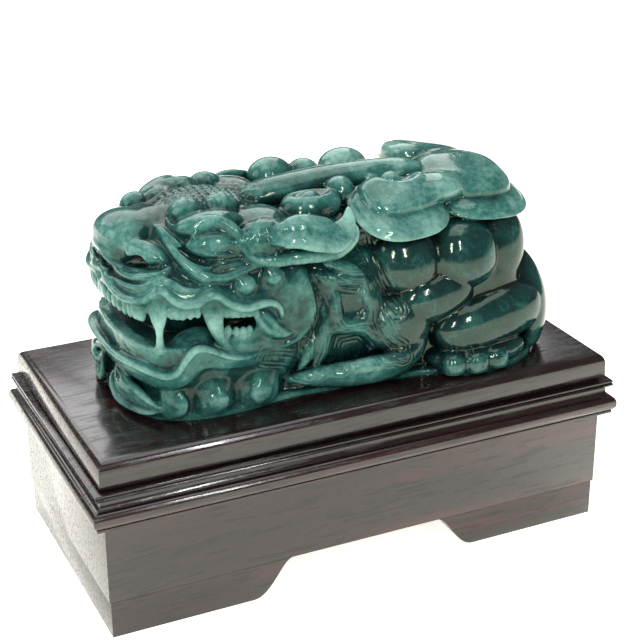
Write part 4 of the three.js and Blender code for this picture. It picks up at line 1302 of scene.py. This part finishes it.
@dataclass
class JadePixiu:
    """The whole beast, carved from one stone."""

    finish: PolishedJade = PolishedJade()
    step: float = 0.36
    head: Head = field(default_factory=Head)
    body: Body = field(default_factory=Body)
    back: RuyiAndOfferings = field(default_factory=RuyiAndOfferings)
    seam_height: float = 0.5
    plug_top: float = 0.9
    plug_depth: float = 1.7
    most_triangles: int = 190000
    near_bulk: float = 2.2
    wide_bulk: float = 5.5
    outline_points: int = 160

    def outline(self, offset: float = 0.0) -> np.ndarray:
        """Gives the outline of the carving's base on the plan, grown by an offset."""
        near = [(-54, 0), (-52.6, -12), (-47.4, -19.8), (-39, -23.2), (-28, -23.6), (-16, -21.8), (-4, -22.4),
                (12, -23.6), (22, -25), (30, -29.6), (42, -29.4), (52, -24), (58.4, -12), (58.8, 0)]
        far = [(x, -self.body.far_share * y) for x, y in reversed(near[1:-1])]
        knots = np.array([(x, y, 0.0) for x, y in near + far])
        ring = catmull_rom(knots, np.arange(self.outline_points) / self.outline_points, closed=True)[:, :2]
        tangent = np.roll(ring, -1, 0) - np.roll(ring, 1, 0)
        tangent /= np.linalg.norm(tangent, axis=-1, keepdims=True)
        return ring + offset * np.stack([tangent[:, 1], -tangent[:, 0]], -1)

    def carve(self) -> StoneBlock:
        """Carves the beast.

        Returns:
            The block with the finished surface.
        """
        stone = StoneBlock((-62, -34, -2.5), (62, 32, 53), self.step)
        head, body, back = self.head, self.body, self.back

        def add(forms: Iterable[Form]) -> None:
            for form in forms:
                stone.add(form)

        add(head.skull() + body.trunk() + body.tail())
        for side in Side:
            add([*body.haunch(side), *body.mane(side), head.cheek(side)])
            for form in body.hollows(side):
                stone.hollow(form)
        stone.hollow(*head.mouth())
        for side in Side:
            add(head.eye_and_brow(side) + head.ear(side) + body.fore_paw(side) + head.muzzle(side) + head.jaw(side))
            for form in head.nostril(side):
                stone.hollow(form)
            add(head.brow_knobs(side) + head.fangs(side) + head.teeth(side))
        add(back.beds())
        for tier in zip(*back.lobes()):
            add(tier)
        for flange, step, _ in back.lobes():
            stone.engrave(Rim(flange, 0.93, width=0.4, depth=0.35))
            stone.engrave(Rim(step, 0.9, width=0.4, depth=0.4))
        add(back.bridges() + back.stem())
        stone.hollow(back.niche())
        boat, bowl, dome = back.ingot()
        stone.add(boat)
        stone.hollow(bowl)
        add([dome, *back.balls()])
        for side in Side:
            for mark in head.marks(side):
                stone.engrave(mark)
        stone.seat(self.outline(), self.seam_height, self.plug_top, -self.plug_depth)
        stone.polish()
        return stone

    def build(self) -> bpy.types.Object:
        """Builds and dresses the carving.

        Returns:
            The finished piece.
        """
        stone = self.carve()
        vertices, faces = stone.skin()
        vertices = relaxed(vertices, faces)
        # How much stone lies round each point sets the painted light on thin edges and the painted shade in deep
        # folds.
        near, wide = (stone.sample(stone.bulk(reach), vertices) for reach in (self.near_bulk, self.wide_bulk))
        beside = self.body.hair().nearest(vertices)
        low, high = (np.array(corner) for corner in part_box("jade_pixiu"))
        first, last = vertices.min(0), vertices.max(0)
        piece = new_piece("carving", low + (vertices - first) / (last - first) * (high - low), faces)
        carried = {"painted_edge_light_and_fold_shade": 1.0 - 0.55 * near - 0.45 * wide, "beside_guide": beside,
                   "combed": self.body.hair().strength(beside)}
        for name, values in carried.items():
            piece.data.attributes.new(name, "FLOAT", "POINT").data.foreach_set("value", values.astype(np.float32))
        thinner = piece.modifiers.new("fewer", "DECIMATE")
        thinner.ratio = min(1.0, self.most_triangles / (2 * len(faces)))
        settle_modifiers(piece)
        piece.data.polygons.foreach_set("use_smooth", [True] * len(piece.data.polygons))
        dress(piece, self.finish.material(), "jade_pixiu")
        return piece


# --------------------------------------------------------------------------------------------------------------
# The stand
# --------------------------------------------------------------------------------------------------------------


@dataclass
class RosewoodStand:
    """The stand: a moulded block with a seat sunk in its top, on two feet."""

    finish: LacqueredRosewood = LacqueredRosewood()
    upper_band_height: float = 7.2
    upper_band_inset: float = 2.6
    lower_band_height: float = 9.6
    skirt_inset: float = 3.4
    quirk_depth: float = 1.1
    edge_round: float = 2.2
    recess_depth: float = 2.0
    recess_clearance: float = 0.6
    worn_round: float = 0.35
    foot_samples: int = 14
    foot_length: float = 47
    foot_length_at_floor: float = 36.5
    smooth_below: float = 32
    worn_above: float = 50

    def profile(self, top: float) -> list[tuple[float, float]]:
        """Gives the moulding's section.

        Args:
            top: The block's height.

        Returns:
            Pairs of inset from the outermost edge and height, from the skirt's foot up to the top face.
        """
        quirk = top - self.upper_band_height
        low = quirk - self.lower_band_height
        rows = [(self.skirt_inset, 0.0), (self.skirt_inset, low - 0.3), (self.skirt_inset - 0.3, low)]
        rows += [(0.9, low + 0.2), (0.9, low + 0.9)]
        for i in range(9):
            angle = -math.pi / 2 + math.pi * i / 8
            rows.append((1.5 - 1.5 * math.cos(angle), low + 3 + 2.1 * math.sin(angle)))
        rows += [(1.9, low + 5.4), (2.3, low + 6.2), (2.4, quirk - 2.3), (2.0, quirk - 1.9), (1.2, quirk - 1.75)]
        for i in range(5):
            angle = -math.pi / 2 + math.pi * i / 4
            rows.append((1.3 - 0.4 * math.cos(angle), quirk - 1.2 + 0.4 * math.sin(angle)))
        rows += [(1.25, quirk - 0.7), (1.0, quirk - 0.45), (1.1, quirk)]
        cut = self.upper_band_inset + self.quirk_depth
        rows += [(cut, quirk), (cut, quirk + 0.6), (self.upper_band_inset, quirk + 0.8)]
        rows += [(self.upper_band_inset + 0.1, top - self.edge_round)]
        for i in range(1, 7):
            angle = math.pi / 2 * i / 6
            rows.append((self.upper_band_inset + 0.2 + self.edge_round * (1 - math.cos(angle)),
                         top - self.edge_round * (1 - math.sin(angle))))
        return rows

    def moulding_tree(self, rows: int) -> bpy.types.NodeTree:
        """Builds the node tree that carries the section round a rectangle with mitred corners.

        Args:
            rows: How many points the section has.

        Returns:
            The tree, with the inputs Length, Depth and Finish.
        """
        tree = bpy.data.node_groups.new("moulding_round_block", "GeometryNodeTree")
        for name, kind in (("Geometry", "Geometry"), ("Length", "Float"), ("Depth", "Float"), ("Finish", "Material")):
            tree.interface.new_socket(name, in_out="INPUT", socket_type="NodeSocket" + kind)
        tree.interface.new_socket("Geometry", in_out="OUTPUT", socket_type="NodeSocketGeometry")
        given = add_node(tree, "NodeGroupInput").outputs
        sheet = add_node(tree, "GeometryNodeMeshGrid", inputs={"Vertices X": rows, "Vertices Y": 5})
        index = add_node(tree, "GeometryNodeInputIndex").outputs[0]

        row = calculate(tree, "FLOOR", calculate(tree, "DIVIDE", calculate(tree, "ADD", index, 0.5), 5.0))
        corner = calculate(tree, "SUBTRACT", index, calculate(tree, "MULTIPLY", row, 5.0))
        section = add_node(tree, "GeometryNodeSampleIndex", {"data_type": "FLOAT_VECTOR"}, {
            "Geometry": given["Geometry"], "Value": add_node(tree, "GeometryNodeInputPosition").outputs[0],
            "Index": row})
        parts = add_node(tree, "ShaderNodeSeparateXYZ", inputs={0: section.outputs[0]}).outputs

        def along(middle: float, size: bpy.types.NodeSocket) -> bpy.types.NodeSocket:
            off = calculate(tree, "ABSOLUTE", calculate(tree, "SUBTRACT", corner, middle))
            near_middle = calculate(tree, "LESS_THAN", off, 1.0)
            sign = calculate(tree, "SUBTRACT", calculate(tree, "MULTIPLY", near_middle, 2.0), 1.0)
            half = calculate(tree, "DIVIDE", size, 2.0)
            return calculate(tree, "MULTIPLY", sign, calculate(tree, "SUBTRACT", half, parts[0]))

        place = add_node(tree, "ShaderNodeCombineXYZ", inputs={
            0: along(1.5, given["Length"]), 1: along(2.5, given["Depth"]), 2: parts[2]})
        moved = add_node(tree, "GeometryNodeSetPosition", inputs={
            "Geometry": sheet.outputs["Mesh"], "Position": place.outputs[0]})
        closed = add_node(tree, "GeometryNodeMergeByDistance", inputs={
            "Geometry": moved.outputs[0], "Distance": 0.00001})
        real = add_node(tree, "GeometryNodeRealizeInstances", inputs={"Geometry": closed.outputs[0]})
        dressed = add_node(tree, "GeometryNodeSetMaterial", inputs={
            "Geometry": real.outputs[0], "Material": given["Finish"]})
        add_node(tree, "NodeGroupOutput", inputs={"Geometry": dressed.outputs[0]})
        return tree

    def block(self, outline: np.ndarray, material: bpy.types.Material) -> bpy.types.Object:
        """Builds the moulded block with its seat.

        Args:
            outline: The plan of the carving's base, in millimetres.
            material: The finish.

        Returns:
            The finished piece.
        """
        low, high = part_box("stand_block")
        length, depth, top = ((h - l) / METRES for l, h in zip(low, high))
        section = [(depth / 2, 0.0), *self.profile(top), (depth / 2, top)]
        points = np.array([(inset, 0.0, z) for inset, z in section]) * METRES + np.array((0, 0, low.z))
        edges = [(i, i + 1) for i in range(len(points) - 1)]
        mesh = bpy.data.meshes.new("block")
        mesh.from_pydata(points.tolist(), edges, [])
        piece = bpy.data.objects.new("block", mesh)
        bpy.context.scene.collection.objects.link(piece)
        tree = self.moulding_tree(len(points))
        modifier = piece.modifiers.new("moulding", "NODES")
        modifier.node_group = tree
        sizes = {"Length": length * METRES, "Depth": depth * METRES, "Finish": material}
        for socket in tree.interface.items_tree:
            if socket.in_out == "INPUT" and socket.name in sizes:
                modifier[socket.identifier] = sizes[socket.name]
        settle_modifiers(piece)
        cutter = self.seat_cutter(outline, high.z)
        self.wear_edges(piece)
        cut = piece.modifiers.new("seat", "BOOLEAN")
        cut.object, cut.operation, cut.solver = cutter, "DIFFERENCE", "EXACT"
        settle_modifiers(piece)
        bpy.data.objects.remove(cutter)
        self.shade(piece)
        dress(piece, material, "stand_block")
        return piece

    def wear_edges(self, piece: bpy.types.Object) -> None:
        """Rounds a piece's sharp edges a little."""
        bevel = piece.modifiers.new("worn_edges", "BEVEL")
        bevel.width, bevel.segments = self.worn_round * METRES, 2
        bevel.limit_method, bevel.angle_limit = "ANGLE", math.radians(self.worn_above)

    def shade(self, piece: bpy.types.Object) -> None:
        """Shades a piece smooth but for its sharp edges."""
        mesh = piece.data
        mesh.polygons.foreach_set("use_smooth", [True] * len(mesh.polygons))
        mesh.set_sharp_from_angle(angle=math.radians(self.smooth_below))

    def seat_cutter(self, outline: np.ndarray, top: float) -> bpy.types.Object:
        """Builds the closed form that the seat is cut with."""
        count = len(outline)
        rings = [np.column_stack([outline * METRES, np.full(count, z)])
                 for z in (top - self.recess_depth * METRES, top + 0.005)]
        faces = [list(range(count))[::-1], list(range(count, 2 * count))]
        faces += [[i, (i + 1) % count, count + (i + 1) % count, count + i] for i in range(count)]
        return new_piece("seat_cutter", np.vstack(rings), faces, smooth=False)

    def foot(self, node: str, material: bpy.types.Material) -> bpy.types.Object:
        """Builds a foot with the ogee on the side that faces the other foot.

        Args:
            node: The CAD node that it stands for.
            material: The finish.

        Returns:
            The finished piece.
        """
        low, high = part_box(node)
        outer, top_edge = (low.x, high.x) if low.x < 0 and high.x < 0 else (high.x, low.x)
        height = high.z - low.z
        floor_edge = top_edge + (outer - top_edge) * (self.foot_length - self.foot_length_at_floor) / self.foot_length
        run = floor_edge - top_edge
        rows = [(outer, 0.0), (outer, height)]
        for i in range(self.foot_samples + 1):
            share = i / self.foot_samples
            bend = 0.5 - 0.5 * math.cos(math.pi * share)
            rows.append((top_edge + run * (0.55 * share + 0.45 * share**1.6), height * (1 - bend)))
        count = len(rows)
        vertices = [(x, y, low.z + z) for y in (low.y, high.y) for x, z in rows]
        faces = [list(range(count)), list(range(count, 2 * count))[::-1]]
        faces += [[i, count + i, count + (i + 1) % count, (i + 1) % count] for i in range(count)]
        if outer < 0:
            faces = [face[::-1] for face in faces]
        piece = new_piece(node, np.array(vertices), faces)
        self.wear_edges(piece)
        settle_modifiers(piece)
        self.shade(piece)
        piece.name = node + "_wood"
        dress(piece, material, node)
        return piece

    def build(self, outline: np.ndarray) -> list[bpy.types.Object]:
        """Builds the block and the feet and returns them."""
        material = self.finish.material()
        return [self.block(outline, material), self.foot("foot_left", material), self.foot("foot_right", material)]


# --------------------------------------------------------------------------------------------------------------
# The studio
# --------------------------------------------------------------------------------------------------------------


@dataclass
class Studio:
    """The pale floor, the soft lights and the camera at the photo's angle, in metres."""

    camera_place: Point = (-0.1531, -0.3314, 0.2146)
    camera_right: Point = (0.904, -0.4276, -0.004)
    camera_up: Point = (0.1732, 0.3576, 0.9177)
    lens_mm: float = 86.4
    aim: Point = (0, 0, 0.07)
    floor_half: float = 3.0
    walls: str = "#d9dedd"
    walls_strength: float = 0.22
    softboxes: tuple[tuple[str, Point, tuple[float, float], float], ...] = (
        ("window_left", (-0.45, -0.75, 0.55), (0.04, 0.4), 4),
        ("window_right", (0.05, -0.85, 0.6), (0.04, 0.4), 4),
        ("side", (-0.95, 0.1, 0.6), (0.7, 0.7), 6),
        ("back", (0.05, 0.85, 0.85), (1.4, 0.8), 11),
        ("top", (0.05, 0.1, 1.4), (1.3, 1.3), 12))

    def build(self) -> None:
        """Builds the floor, lights and camera."""
        half = self.floor_half
        floor = new_piece("floor", np.array([(-half, -half, 0), (half, -half, 0), (half, half, 0), (-half, half, 0)]),
                          [[0, 1, 2, 3]], smooth=False)
        floor.data.materials.append(PaleBoard().material())
        world = bpy.data.worlds.new("studio_walls")
        bpy.context.scene.world = world
        world.use_nodes = True
        background = world.node_tree.nodes["Background"].inputs
        background["Color"].default_value = linear(self.walls)
        background["Strength"].default_value = self.walls_strength
        bpy.context.scene.view_settings.view_transform = "Standard"
        for name, place, size, watts in self.softboxes:
            self.softbox(name, place, size, watts)
        self.camera()

    def softbox(self, name: str, place: Point, size: tuple[float, float], watts: float) -> None:
        """Adds a softbox aimed at the carving."""
        data = bpy.data.lights.new(name, "AREA")
        data.shape, data.size, data.size_y, data.energy = "RECTANGLE", size[0], size[1], watts
        light = bpy.data.objects.new(name, data)
        bpy.context.scene.collection.objects.link(light)
        light.location = place
        light.rotation_euler = (Vector(self.aim) - Vector(place)).to_track_quat("-Z", "Y").to_euler()

    def camera(self) -> None:
        """Adds the camera."""
        data = bpy.data.cameras.new("camera")
        data.lens, data.sensor_width = self.lens_mm, 36
        data.clip_start, data.clip_end = 0.01, 20
        camera = bpy.data.objects.new("camera", data)
        bpy.context.scene.collection.objects.link(camera)
        right = Vector(self.camera_right).normalized()
        up = Vector(self.camera_up)
        back = right.cross(up).normalized()
        up = back.cross(right)
        turn = Matrix((right, up, back)).transposed().to_4x4()
        camera.matrix_world = Matrix.Translation(self.camera_place) @ turn
        bpy.context.scene.camera = camera


def main() -> None:
    """Builds the carving, its stand and the studio."""
    logging.basicConfig(level=logging.INFO, format="%(name)s: %(message)s")
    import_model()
    carving = JadePixiu()
    carving.build()
    stand = RosewoodStand()
    stand.build(carving.outline(stand.recess_clearance))
    Studio().build()
    LOG.info("sizes written")


if __name__ == "__main__":
    main()
